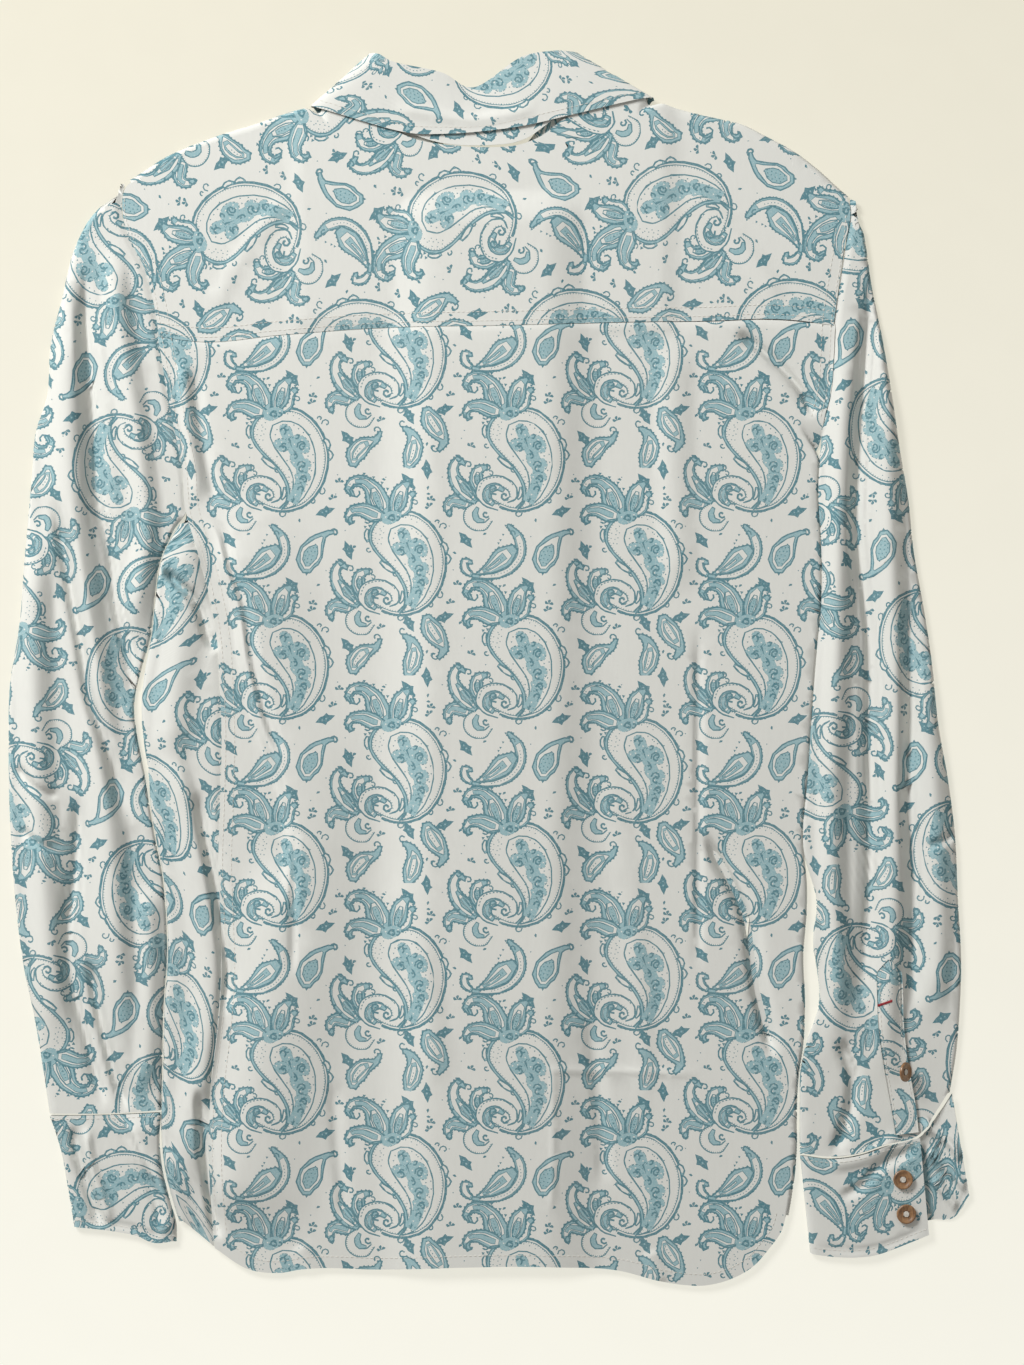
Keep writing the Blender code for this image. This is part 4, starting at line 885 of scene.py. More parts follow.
def plume(drawing, spine, widths, fill, ink, cores, scallop=0.0):
    """A leaf along a bent spine, with smaller ones inside it."""
    line = Line(spine)
    count = max(4, len(drawing.path(spine)))

    def outline(first, last, part):
        share = np.linspace(first, last, count if part == 1 else max(4, count * 2 // 3))
        half = np.interp(share, np.linspace(0, 1, len(widths)), widths) / 2 * part
        side = line.normal(share) * half[:, None]
        inner = line.at(share)
        return np.vstack([inner - side, (inner + side)[::-1]])

    whole = outline(0, 1, 1)
    if scallop:
        drawing.scallops(np.vstack([whole[::-1], whole[-1:]]), scallop, scallop * 0.42)
    drawing.closed(whole, ink, fill)
    for index, tone in enumerate(cores):
        drawing.closed(outline(0.08 + 0.07 * index, 0.84 - 0.12 * index, 0.62 - 0.26 * index), 0.45, tone)


def scroll(drawing, x, y, radius, start, turn, width):
    """A spiral that ends in a dot."""
    share = np.linspace(0, 1, 7)
    heading = np.radians(start + turn * share)
    reach = radius * (1 - 0.8 * share)
    step = np.column_stack([np.cos(heading), np.sin(heading)]) * reach[:, None] * math.radians(abs(turn)) / 6
    path = np.array([x, y]) + np.vstack([[0, 0], np.cumsum(step[:-1], axis=0)])
    drawing.stroke(path, width)
    drawing.dot(*path[-1], 0.7)


# -------------------- print: the motifs
def bloom(d, outline, curls, lights=()):
    """A tuft of the filigree: a washed patch with a scalloped edge, curls and lights in it."""
    d.scallops(Line(outline[::-1] + outline[-1:]).at(np.linspace(0, 1, 12)), 2.4, 1.0)
    d.fill(outline, WASH)
    d.dots(lights, 0.7, GROUND)
    for x, y, radius, start, turn in curls:
        scroll(d, x, y, radius * 1.15, start, turn, 1.0)


def large_boteh():
    """The large paisley: a filigree drop in a beaded band, a flower on its neck and a lotus at its curl."""
    d = Drawing()
    outer = [(-7.9, 35.2), (-2.7, 36.6), (3.7, 35.7), (11.7, 30.8), (18.3, 22.7), (21.7, 14.3), (22.7, 5.2),
        (21.3, -4.0), (16.8, -14.3), (9.2, -22.3), (0.3, -25.9), (-8.1, -26.2), (-15.7, -24.1), (-21.8, -20.7)]
    neck = [(-12.2, 34.8), (-18.8, 31.7), (-22.9, 26.2), (-23.8, 19.7), (-21.0, 13.6), (-15.2, 7.0),
        (-8.8, 0.6), (-4.0, -6.3), (-1.5, -13.9), (-2.4, -20.7), (-6.4, -25.0)]
    drop = [(-11.1, 26.2), (-12.7, 20.4), (-10.1, 12.8), (-5.0, 5.8), (-0.5, -0.9), (1.4, -8.2), (0.3, -15.4),
        (-3.0, -21.5), (-4.9, -24.7), (0.6, -23.5), (7.3, -18.5), (11.6, -11.6), (14.3, -4.0), (15.1, 5.2),
        (13.1, 15.1), (8.5, 23.2), (2.1, 27.8), (-4.9, 28.7)]
    outer_path, neck_path = d.path(outer), d.path(neck)
    d.fill(np.vstack([outer_path, neck_path[::-1]])[::-1], GROUND)
    d.scallops(outer_path, 2.7, 1.0)
    d.stroke(outer_path, 1.4)
    d.stroke(outer_path - 1.75 * left_of(outer_path), 0.6)
    d.ticks(outer_path, 1.75, -1.8, -3.0, 0.6)
    d.scallops(neck_path[::-1], 2.7, 1.05)
    d.stroke(neck_path, 2.3)
    d.stroke(neck_path, 0.8, WASH)
    d.ticks(neck_path, 1.9, 1.3, 2.3, 0.5)
    d.dots([(-17.7, 26.2), (-20.3, 23.5), (-17.7, 22.7), (-20.7, 20.4), (-18.3, 19.8), (-19.2, 17.4),
            (-17.1, 25.0), (-15.6, 27.8), (-16.5, 20.7), (-15.6, 23.8), (-17.1, 17.1), (-8.8, 32.3),
            (-5.5, 33.2), (-2.0, 33.1), (1.5, 32.0), (4.9, 30.2)], 0.5)
    # small buds and hooks outside the band
    for spine, widths in (([(20.1, 17.7), (22.6, 15.1), (22.6, 11.6)], (2.0, 3.6, 1.6)), ([(22.7, 10.7),
            (24.4, 7.9), (23.2, 4.9)], (1.6, 3.2, 1.2)), ([(-17.7, 6.4), (-13.7, 3.4), (-8.5, -0.6)],
            (1.6, 4.4, 1.4)), ([(-25.2, 26.2), (-26.2, 22.3), (-25.0, 18.3)], (1.4, 3.4, 1.4)), ([(-5.8, -19.2),
            (-4.0, -16.2), (-4.0, -11.6)], (1.0, 3.0, 1.0))):
        plume(d, spine, widths, WASH, 0.7, (GROUND,))
    for (x, y), radius, start, turn in zip( [(18.6, 26.8), (19.8, -11.9), (-3.0, -27.1), (-23.2, 12.5),
            (15.9, 30.2), (14.0, -18.6), (-7.3, -2.4)], (2.6, 2.4, 2.4, 1.8, 1.6, 1.8, 1.8),
            (70, -60, -110, 200, 60, -60, 190), (-280, -280, -280, -260, -250, -250, -250)):
        scroll(d, x, y, radius, start, turn, 0.8)
    d.stroke(d.path(drop + drop[:1]), 0.8)
    filigree(d)
    lotus(d)
    flower(d)
    return d


def filigree(d):
    """Inside the drop: tufts of curled leaves down a stem, seeds round them."""
    stem = d.path([(-4.0, 24.2), (-0.5, 15.9), (3.7, 7.5), (6.7, -0.9), (5.6, -10.1), (0.6, -21.0)])
    d.stroke(stem, 7.0, WASH)
    d.stroke(stem, 1.2)
    bloom(d, [(-7.0, 25.6), (-4.0, 27.1), (0.0, 24.4), (0.9, 20.4), (-1.8, 17.7), (-5.2, 19.8)],
        [(-4.0, 20.4, 2.2, 60, 250), (-1.2, 23.5, 1.7, 200, -250)], [(-4.6, 23.8), (-1.2, 20.1)])
    bloom(d, [(-11.0, 14.9), (-7.9, 18.0), (-2.7, 17.1), (-0.9, 13.4), (-3.4, 9.8), (-7.6, 10.4)],
        [(-7.3, 12.8, 2.3, 30, -280), (-3.0, 14.6, 1.6, 160, 260)], [(-8.8, 15.2), (-4.9, 11.0), (-5.8, 15.9)])
    bloom(d, [(-0.3, 16.5), (3.0, 20.4), (8.2, 19.2), (11.6, 14.3), (10.7, 9.5), (5.2, 9.2), (0.9, 11.6)],
        [(3.7, 12.5, 2.7, 80, -290), (8.5, 14.9, 2.2, 180, 280), (2.7, 18.0, 1.5, 0, 250)], [(6.7, 17.1),
        (2.1, 14.6), (7.6, 11.0), (9.8, 12.5), (4.9, 18.9)])
    bloom(d, [(-0.9, 7.6), (3.7, 8.5), (6.1, 5.5), (10.4, 5.8), (12.5, 1.5), (9.8, -2.1), (4.6, -1.5),
        (0.6, 2.1)], [(3.7, 1.5, 2.5, 60, -290), (8.5, 1.2, 2.2, 170, 280), (2.1, 5.8, 1.5, 20, 250)],
        [(6.1, 3.4), (1.8, 3.4), (7.6, 4.0), (11.0, 0.3), (5.8, -0.6)])
    bloom(d, [(1.8, -4.3), (6.1, -2.7), (11.3, -3.4), (12.2, -6.7), (7.9, -8.8), (3.4, -7.6)],
        [(5.2, -7.0, 2.2, 50, -280), (9.5, -5.2, 1.7, 150, 270)], [(7.3, -4.3), (3.7, -5.5), (9.8, -7.3)])
    bloom(d, [(1.8, -10.1), (5.8, -9.5), (7.9, -12.2), (4.9, -16.2), (2.1, -18.6), (1.2, -14.3)],
        [(4.0, -13.4, 1.9, 70, -270)], [(5.5, -11.3), (2.7, -16.2)])
    d.dots([(-8.5, 23.5), (-9.5, 20.4), (1.8, 26.2), (4.6, 24.1), (7.6, 21.7), (-8.5, 7.0), (-6.4, 7.6),
            (-4.6, 5.2), (-2.4, 4.6), (11.6, 20.4), (13.4, 8.2), (-1.2, -0.9), (0.6, -2.7), (12.5, -1.5),
            (0.6, -8.5), (9.8, -10.1), (8.2, -14.0), (0.3, -19.2), (-1.8, -21.0), (11.9, 16.8), (13.7, 3.4),
            (-7.6, 17.7), (-1.2, -5.5), (10.4, 7.3), (-0.3, -12.5), (6.4, -15.6), (3.7, -20.1),
            (1.5, -22.0)], 0.62)


def ringed(d, spine, widths):
    """An oval of rings with a seeded heart."""
    plume(d, spine, widths, GROUND, 0.7, (WASH,))
    d.dots(Line(spine).at(np.array([0.45])), 0.9)
    d.dots(Line(spine).at(np.array([0.2, 0.32, 0.6, 0.72])), 0.5)


def flower(d):
    """The flower on the neck: four curled petals round a ruffled knot."""
    # upper left petal: a body with a seeded oval, its tip rolled to the left
    plume(d, [(-14.2, 34.9), (-19.2, 43.3), (-22.6, 50.9), (-28.7, 55.2), (-34.5, 54.6), (-36.9, 50.0),
        (-33.9, 46.7)], (4.0, 13.6, 12.6, 8.0, 6.6, 5.2, 1.8), WASH, 1.0, (GROUND, WASH), 2.6)
    ringed(d, [(-16.5, 36.9), (-19.8, 44.5), (-22.0, 50.9)], (2.0, 7.4, 2.4))
    scroll(d, -28.7, 53.4, 5.2, 180, 340, 1.1)
    d.stroke(d.path([(-23.2, 51.2), (-24.1, 44.8), (-21.7, 38.7), (-16.5, 35.4)]), 0.6)
    d.dots([(-30.2, 57.0), (-27.1, 57.3), (-24.1, 56.1), (-36.0, 53.4), (-37.2, 50.3)], 0.6)
    # lower left petal
    plume(d, [(-14.9, 33.5), (-21.7, 35.1), (-28.7, 37.8), (-34.5, 37.2), (-37.2, 33.2), (-35.1, 29.6)],
        (3.0, 9.6, 9.0, 6.4, 5.0, 1.8), WASH, 1.0, (GROUND, WASH), 2.6)
    scroll(d, -31.7, 34.2, 3.6, 170, 320, 1.0)
    d.stroke(d.path([(-16.5, 32.3), (-21.8, 31.7), (-25.6, 29.6), (-27.1, 30.5)]), 0.8)
    # right petals
    plume(d, [(-7.3, 34.2), (-1.8, 38.7), (-0.3, 44.8), (3.4, 48.2)], (3.0, 6.4, 5.8, 2.4), WASH, 0.9,
        (GROUND,), 2.6)
    plume(d, [(-9.2, 34.5), (-6.7, 42.4), (-4.0, 50.9), (0.3, 54.3)], (3.4, 11.0, 9.4, 2.0), WASH, 1.0,
        (GROUND,), 2.6)
    ringed(d, [(-8.2, 36.6), (-6.4, 43.0), (-4.6, 48.8)], (1.8, 5.8, 1.8))
    scroll(d, 0.3, 51.5, 2.0, 40, -280, 0.8)
    scroll(d, 2.1, 43.3, 2.0, 20, -280, 0.8)
    # ruffled knot
    bloom(d, [(-16.5, 33.9), (-13.7, 36.3), (-9.2, 37.5), (-4.6, 35.7), (-5.2, 32.3), (-8.5, 30.2),
        (-13.1, 28.7), (-16.5, 30.2)], [(-13.1, 32.0, 2.2, 60, -290), (-8.8, 34.5, 2.0, 170, 290),
        (-7.9, 31.4, 1.5, 0, 250)], [(-11.0, 33.9), (-14.3, 33.5), (-10.4, 30.8), (-6.7, 34.8)])
    d.dots([(-27.4, 59.8), (-21.7, 57.6), (-16.5, 54.3), (-13.1, 50.6), (-38.4, 52.8), (-38.7, 49.4),
            (-4.0, 55.2), (4.3, 47.6), (1.8, 41.8), (-38.4, 35.7), (-38.4, 31.4), (-26.8, 27.4), (-24.1, 28.1),
            (-2.4, 56.4)], 1.2)


def lotus(d):
    """The lotus at the curl: a tall leaf, a bud, two rolled horns and the spiral that ends the band."""
    # small leaf low on the left
    plume(d, [(-34.2, -23.5), (-40.3, -20.7), (-45.8, -20.1), (-48.5, -24.1), (-46.7, -28.7)],
        (3.4, 7.6, 7.0, 5.4, 1.8), WASH, 0.9, (GROUND, WASH), 2.6)
    scroll(d, -45.1, -25.6, 2.8, 180, 310, 0.9)
    # tall leaf
    plume(d, [(-30.5, -20.4), (-37.2, -14.9), (-43.6, -7.0), (-44.8, 0.6), (-41.8, 4.9), (-37.8, 2.1)],
        (4.0, 10.0, 9.6, 6.6, 5.2, 1.8), WASH, 1.0, (GROUND,), 2.6)
    plume(d, [(-31.4, -19.5), (-37.8, -11.9), (-43.0, -4.9)], (1.4, 6.0, 1.2), WASH, 0.7, (GROUND, WASH))
    scroll(d, -43.6, 7.6, 2.6, 0, -290, 1.0)
    scroll(d, -38.1, 3.0, 2.4, 30, -290, 1.0)
    d.dots([(-47.6, 0.3), (-47.3, -5.5), (-45.1, -11.3), (-41.5, -16.2), (-36.6, -19.5)], 1.1)
    # bud
    plume(d, [(-27.8, -14.6), (-30.8, -7.9), (-29.9, -1.5), (-24.4, 0.6)], (4.6, 8.6, 6.6, 2.4), WASH, 0.9,
        (GROUND,), 2.6)
    ringed(d, [(-29.0, -11.3), (-30.5, -6.7), (-29.9, -2.7)], (1.4, 4.6, 1.4))
    scroll(d, -26.2, 1.5, 2.4, 20, -290, 0.9)
    scroll(d, -23.2, -1.8, 1.8, 0, -290, 0.8)
    # lower horn
    horn(d, [(-30.8, -23.5), (-35.1, -26.8), (-35.4, -31.4), (-31.4, -35.1), (-25.9, -35.4), (-22.0, -31.4)],
        (4.8, 6.0, 6.2, 6.0, 5.0, 2.4), 1.4)
    scroll(d, -23.2, -29.6, 2.2, 200, -300, 1.2)
    plume(d, [(-30.2, -24.1), (-31.7, -27.8), (-30.2, -31.7), (-26.2, -32.3)], (2.0, 3.4, 3.4, 1.4), WASH, 0.7,
        ())
    # the band's end, rolled twice
    horn(d, [(-17.1, -24.1), (-24.1, -21.3), (-28.4, -16.2), (-27.1, -10.7), (-21.3, -7.9), (-14.0, -8.8),
        (-8.8, -13.4), (-8.8, -18.0), (-12.5, -20.1)], (3.6, 4.6, 5.4, 5.8, 6.0, 5.8, 5.4, 4.4, 2.2), 1.5)
    d.scallops(d.path([(-29.3, -14.6), (-26.8, -8.5), (-20.4, -6.1), (-12.8, -7.0), (-7.3, -12.2)]), 2.1, 0.85)
    scroll(d, -11.6, -19.2, 2.6, 190, -320, 1.4)
    plume(d, [(-20.4, -22.3), (-24.4, -18.0), (-23.2, -13.1), (-17.7, -11.6), (-14.3, -14.0)],
        (2.4, 5.2, 5.4, 4.4, 1.8), WASH, 0.9, (GROUND, WASH))
    scroll(d, -18.6, -16.2, 3.4, 170, -330, 1.1)


def small_boteh(d, spine, widths, curl):
    """A small paisley: a drop bent along its spine, ringed inside, seeds in its heart."""
    plume(d, spine, widths, WASH, 0.9, (), 2.5)
    trim = Line(spine).at(np.linspace(0.07, 0.74, 5))
    plume(d, [tuple(place) for place in trim], [0.5 * widths[0]] + [0.72 * max(widths)] * 2 + [0.6], GROUND,
        0.5, (WASH, GROUND))
    d.dots(Line(spine).at(np.array([0.2, 0.27, 0.34, 0.41])), 0.55)
    scroll(d, *spine[-1], 2.6, *curl, 0.9)


def small_set_two():
    """Below the large paisleys of one column: a paisley with long arms and a plain drop."""
    d = Drawing()
    plume(d, [(-33.5, -65.3), (-37.8, -61.6), (-37.8, -56.4), (-33.5, -57.9)], (2.4, 5.0, 4.2, 1.6), WASH, 0.9,
        (GROUND,), 2.0)
    plume(d, [(-33.5, -65.6), (-22.6, -65.9), (-10.4, -61.6), (-4.0, -52.8), (-4.9, -43.0), (-11.6, -34.8)],
        (2.0, 4.0, 5.0, 5.6, 6.0, 1.8), WASH, 0.9, (GROUND,), 2.0)
    d.beads(d.path([(-22.6, -65.9), (-10.4, -61.6), (-4.0, -52.8), (-4.9, -43.0)]), 2.0, 0, 0.5)
    plume(d, [(-30.8, -64.7), (-22.6, -60.7), (-14.6, -54.3), (-7.3, -48.5)], (0.8, 7.4, 13.4, 4.6), WASH, 0.9,
        (GROUND, WASH, GROUND), 2.5)
    d.beads(d.path([(-24.1, -61.0), (-18.0, -57.0), (-13.1, -53.4)]), 1.7, 0.1, 0.5)
    scroll(d, -7.3, -40.6, 2.0, 100, 280, 0.8)
    d.dots([(-14.6, -40.6), (-16.2, -43.9), (-13.1, -35.1), (-8.5, -35.1), (-17.4, -45.8)], 0.9)
    plume(d, [(9.5, -63.7), (9.8, -57.6), (12.2, -51.5), (16.5, -44.2), (21.7, -39.6), (26.2, -39.0)],
        (4.4, 13.8, 14.6, 10.2, 4.0, 1.6), WASH, 0.9, (), 0)
    plume(d, [(9.8, -61.6), (10.1, -57.0), (12.2, -51.9), (16.2, -45.1), (19.2, -41.8)],
        (3.4, 11.4, 12.2, 7.0, 1.2), GROUND, 0.6, ())
    plume(d, [(10.1, -59.8), (10.4, -56.1), (12.2, -52.2), (15.6, -47.0)], (2.4, 8.2, 8.6, 1.2), WASH, 0.6, ())
    d.dots([(9.8, -57.6), (11.6, -58.3), (8.2, -55.8), (10.1, -55.2), (12.5, -55.8), (8.8, -53.4),
            (11.0, -52.8), (13.4, -53.4), (10.1, -50.9), (12.5, -50.6), (14.6, -50.9), (11.6, -48.5),
            (13.7, -48.5), (15.6, -48.2), (14.9, -46.4)], 0.62)
    scroll(d, 24.4, -37.8, 2.4, 20, -290, 1.3)
    d.dot(9.5, -64.4, 1.2)
    return d.shapes


def small_set_three():
    """Below the large paisleys of the other column: three small paisleys."""
    d = Drawing()
    small_boteh(d, [(-34.0, -62.0), (-33.4, -56.0), (-27.4, -49.0), (-20.0, -45.6), (-17.4, -41.0)],
        (4.0, 11.6, 10.4, 5.0, 1.6), (100, 250))
    small_boteh(d, [(-1.0, -63.6), (1.6, -56.4), (3.4, -48.0), (0.4, -41.0), (-3.6, -38.6)],
        (4.0, 11.0, 10.4, 6.4, 1.8), (150, -250))
    small_boteh(d, [(10.6, -26.4), (12.8, -33.0), (17.8, -40.6), (21.4, -47.4), (18.0, -52.6)],
        (4.0, 12.6, 11.4, 6.0, 1.8), (200, -250))
    return d.shapes


def pointed_leaf(x, y, turn):
    """A small dark leaf with two side points."""
    d = Drawing()
    outline = np.array([(-1.0, 0.0), (-0.42, -0.26), (-0.3, -0.52), (0.02, -0.34), (0.4, -0.34), (1.0, 0.0),
        (0.4, 0.28), (0.16, 0.56), (-0.1, 0.34), (-0.5, 0.24)]) * LEAF_SIZE
    d.fill(outline, INK)
    d.dot(-0.1 * LEAF_SIZE, 0, 0.75, WASH, 4)
    d.dot(0.3 * LEAF_SIZE, -0.02 * LEAF_SIZE, 0.55, WASH, 4)
    return [(tone, turned(shape, turn, (x, y))) for tone, shape in d.shapes]


def short_drop(d, x, y, turn, length, breadth, lean):
    angle = math.radians(turn)
    tip = (x + length * math.cos(angle), y + length * math.sin(angle))
    d.fill(petal_outline((x, y), tip, breadth, lean)[::-1], INK)


def trefoil(x, y, turn):
    """Three short drops that spring from one place."""
    d = Drawing()
    for spread in (-70, 0, 70):
        short_drop(d, x, y, turn + spread, 3.0, 1.9, 0.1)
    return d.shapes


# where the small fill lies in the repeat, and how far each is turned
LEAVES = [
    (20.9, -26.5, 200), (-37.4, -43.9, 130), (0.8, 55.0, 310), (34.9, -50.0, 290),
    (-61.0, -1.0, 95), (-72.0, 32.0, 300), (93.5, 35.5, 200), (34.6, 18.0, 130),
    (71.5, -8.0, 310),
]
TREFOILS = [
    (-46.6, 44.0, 90), (13.2, 43.4, 70), (55.0, 29.0, 100), (-34.2, 13.0, 60),
    (-59.4, -23.6, 120), (-42.4, -71.0, 80), (25.6, -18.6, 100), (85.4, -19.6, 70),
    (37.4, -49.2, 110), (12.8, -86.6, 100), (29.4, -8.6, 80),
]
DROPS = [
    (-41.5, 31.0, 60), (5.4, -33.2, 100), (-27.0, -40.8, 30), (-45.4, -51.2, 340),
    (-15.0, -72.4, 40), (15.4, -71.8, 30), (39.6, -4.8, 20), (55.2, -6.6, 350),
    (82.8, 13.2, 80), (82.6, -15.8, 0), (39.0, 28.4, 10), (71.8, 33.0, 60),
    (-58.8, 12.0, 50), (-60.6, -13.4, 80),
]
SPECKS = [
    (-52.0, 50.0), (2.2, -41.8), (-38.2, 22.8), (-25.2, 6.6), (-51.6, -5.6), (-47.4, -35.4), (-9.0, -75.0),
    (21.4, -62.4), (28.4, -4.0), (57.8, -5.6), (52.8, 22.4), (104.0, 18.0), (95.4, -6.6), (98.2, -22.8),
    (27.2, -15.8), (-59.0, 51.0), (93.0, -43.0), (-45.0, -62.0), (33.0, -38.0), (62.0, -31.0), (12.0, 50.2),
    (-28.6, 49.4), (48.4, -16.4), (-66.4, -40.2), (25.4, 33.0), (-50.2, 19.0),
]


def one_repeat():
    """The whole repeat: both large paisleys, their small ones, and the fill."""
    shapes = []
    for place in LEAVES:
        shapes += pointed_leaf(*place)
    for place in TREFOILS:
        shapes += trefoil(*place)
    d = Drawing()
    for place in DROPS:
        short_drop(d, *place, 2.6, 1.7, 0)
    d.dots(SPECKS, 0.55)
    shapes += d.shapes
    large = large_boteh().shapes
    shapes += small_set_two() + large
    shapes += [(tone, shape + (COLUMN, DROP)) for tone, shape in small_set_three() + large]
    return shapes


# -------------------- cutting cloth along its print
Print = namedtuple("Print", "lines tree tones")
Lay = namedtuple("Lay", "x y turn mirror size", defaults=(False, 1.0))


def signed_area(outline):
    x, y = np.asarray(outline).T
    return 0.5 * np.sum(x * np.roll(y, -1) - np.roll(x, -1) * y)


def thinned(chain):
    """Which points of a chain keep it within the print's slack."""
    kept = [0, len(chain) - 1]
    spans = [(0, len(chain) - 1)]
    while spans:
        first, last = spans.pop()
        if last - first < 2:
            continue
        way, rest = chain[last] - chain[first], chain[first + 1:last] - chain[first]
        length = math.hypot(*way)
        if length > 0:
            away = np.abs(rest[:, 0] * way[1] - rest[:, 1] * way[0]) / length
        else:
            away = np.hypot(*rest.T)
        worst = first + 1 + int(np.argmax(away))
        if away.max() > PRINT_SLACK:
            kept.append(worst)
            spans += [(first, worst), (worst, last)]
    return sorted(kept)


def chains_of(edges, stops):
    """Edges joined end to end into chains, broken at stops and wherever more than two edges meet."""
    near = {}
    for a, b in edges:
        near.setdefault(a, []).append(b)
        near.setdefault(b, []).append(a)
    stops = {vert for vert, others in near.items() if len(others) != 2 or vert in stops}
    done, chains = set(), []
    for start in sorted(stops) + sorted(near):
        for follow in near[start]:
            if (start, follow) in done:
                continue
            chain = [start, follow]
            while chain[-1] not in stops and chain[-1] != start:
                a, b = near[chain[-1]]
                chain.append(b if a == chain[-2] else a)
            done.update(zip(chain, chain[1:]))
            done.update(zip(chain[1:], chain))
            chains.append(chain)
    return chains


def wound(places, outline):
    """How many times an outline winds round each place."""
    a, b = outline, np.roll(outline, -1, axis=0)
    x, y = places[:, :1], places[:, 1:]
    side = (b[:, 0] - a[:, 0]) * (y - a[:, 1]) - (b[:, 1] - a[:, 1]) * (x - a[:, 0])
    up = (a[:, 1] <= y) & (b[:, 1] > y) & (side > 0)
    down = (a[:, 1] > y) & (b[:, 1] <= y) & (side < 0)
    return up.sum(axis=1) - down.sum(axis=1)


def triangulated(places, edges):
    """Triangles between places that keep to the given edges."""
    verts, _, triangles, _, _, _ = delaunay_2d_cdt([Vector(place) for place in places], edges, [], 0, 1e-4)
    return np.array(verts), triangles


def cut_repeat(shapes):
    """One repeat of the print: the lines between its tones, a map of its triangles, and the tone of each."""
    size = np.array(REPEAT)
    outlines, tones = [np.array([(0, 0), (size[0], 0), size, (0, size[1])])], [GROUND]
    for column in (-1, 0, 1):
        for row in (-1, 0, 1):
            for tone, shape in shapes:
                outline = shape + size * (column, row)
                if (outline.max(axis=0) > 0).all() and (outline.min(axis=0) < size).all():
                    outlines.append(outline)
                    tones.append(tone)
    ends = np.cumsum([0] + [len(outline) for outline in outlines])
    edges = [(at, at + 1 if at + 1 < end else start) for start, end in zip(ends[:-1], ends[1:])
             for at in range(start, end)]
    verts, triangles = triangulated(np.vstack(outlines), edges)
    middles = verts[np.array(triangles)].mean(axis=1)
    order = np.argsort(middles[:, 0])
    sorted_x = middles[order, 0]
    found = np.full(len(triangles), -1)
    for outline, tone in zip(outlines, tones):
        (west, south), (east, north) = outline.min(axis=0), outline.max(axis=0)
        near = order[slice(*np.searchsorted(sorted_x, (west, east)))]
        near = near[(middles[near, 1] > south) & (middles[near, 1] < north)]
        near = near[wound(middles[near], outline) != 0]
        found[near] = np.where((found[near] >= 0) | (outline is outlines[0]), tone, -1)
    kept = [(tuple(triangle), tone) for triangle, tone in zip(triangles, found) if tone >= 0]
    sides = {}
    for triangle, tone in kept:
        for a, b in zip(triangle, triangle[1:] + triangle[:1]):
            sides.setdefault((min(a, b), max(a, b)), []).append(tone)
    between = [pair for pair, both in sides.items() if len(both) == 2 and both[0] != both[1]]
    rim = {vert for pair, both in sides.items() if len(both) == 1 for vert in pair}
    lines = []
    for chain in chains_of(between, rim):
        points = verts[chain]
        far = int(np.argmax(np.hypot(*(points - points[0]).T)))
        out, back = thinned(points[:far + 1]), thinned(points[far:])
        lines.append(points[out[:-1] + [far + at for at in back]])
    tree = BVHTree.FromPolygons([(x, y, 0) for x, y in verts], [triangle for triangle, _ in kept])
    return Print(lines, tree, np.array([tone for _, tone in kept]))


def print_lines(low, high, lay, printed):
    """The lines of the print that meet a box of cloth, as a lay places and turns the repeat."""
    corners = np.array([(x, y) for x in (low[0], high[0]) for y in (low[1], high[1])])
    own = in_repeat(corners, lay)
    first, last = (np.floor(corner / REPEAT).astype(int) for corner in (own.min(axis=0), own.max(axis=0)))
    found = []
    for column in range(first[0], last[0] + 1):
        for row in range(first[1], last[1] + 1):
            for line in printed.lines:
                own = (line + np.multiply(REPEAT, (column, row))) * lay.size
                own = turned(own, lay.turn, (lay.x, lay.y)) * (-1 if lay.mirror else 1, 1)
                if (own.max(axis=0) > low).all() and (own.min(axis=0) < high).all():
                    found.append(own)
    return found


def in_repeat(places, lay):
    """Places on a panel's cloth, in the print's own coordinates."""
    if lay.mirror:
        places = places * (-1, 1)
    return turned(places - (lay.x, lay.y), -lay.turn) / lay.size


def tones_at(places, lay, printed):
    own = np.mod(in_repeat(places, lay), REPEAT)
    return printed.tones[[printed.tree.find_nearest((x, y, 0))[2] for x, y in own]]


def inside(places, outline):
    """Whether each place is inside an outline."""
    within = np.zeros(len(places), bool)
    for a, b in zip(outline, np.roll(outline, -1, axis=0)):
        crosses = (a[1] > places[:, 1]) != (b[1] > places[:, 1])
        if crosses.any():
            at = a[0] + (places[crosses, 1] - a[1]) * (b[0] - a[0]) / (b[1] - a[1])
            within[crosses] ^= places[crosses, 0] < at
    return within


def needed(points):
    """Which inner points of a net the cloth bends at, and an even scatter of the rest."""
    bend = np.zeros(points.shape[:2])
    bend[1:-1] = np.linalg.norm(points[2:] + points[:-2] - 2 * points[1:-1], axis=2)
    across = np.linalg.norm(points[:, 2:] + points[:, :-2] - 2 * points[:, 1:-1], axis=2)
    bend[:, 1:-1] = np.maximum(bend[:, 1:-1], across)
    keep = bend > BEND_SHOWS
    keep[::SCATTER, ::SCATTER] = True
    return keep[1:-1, 1:-1]


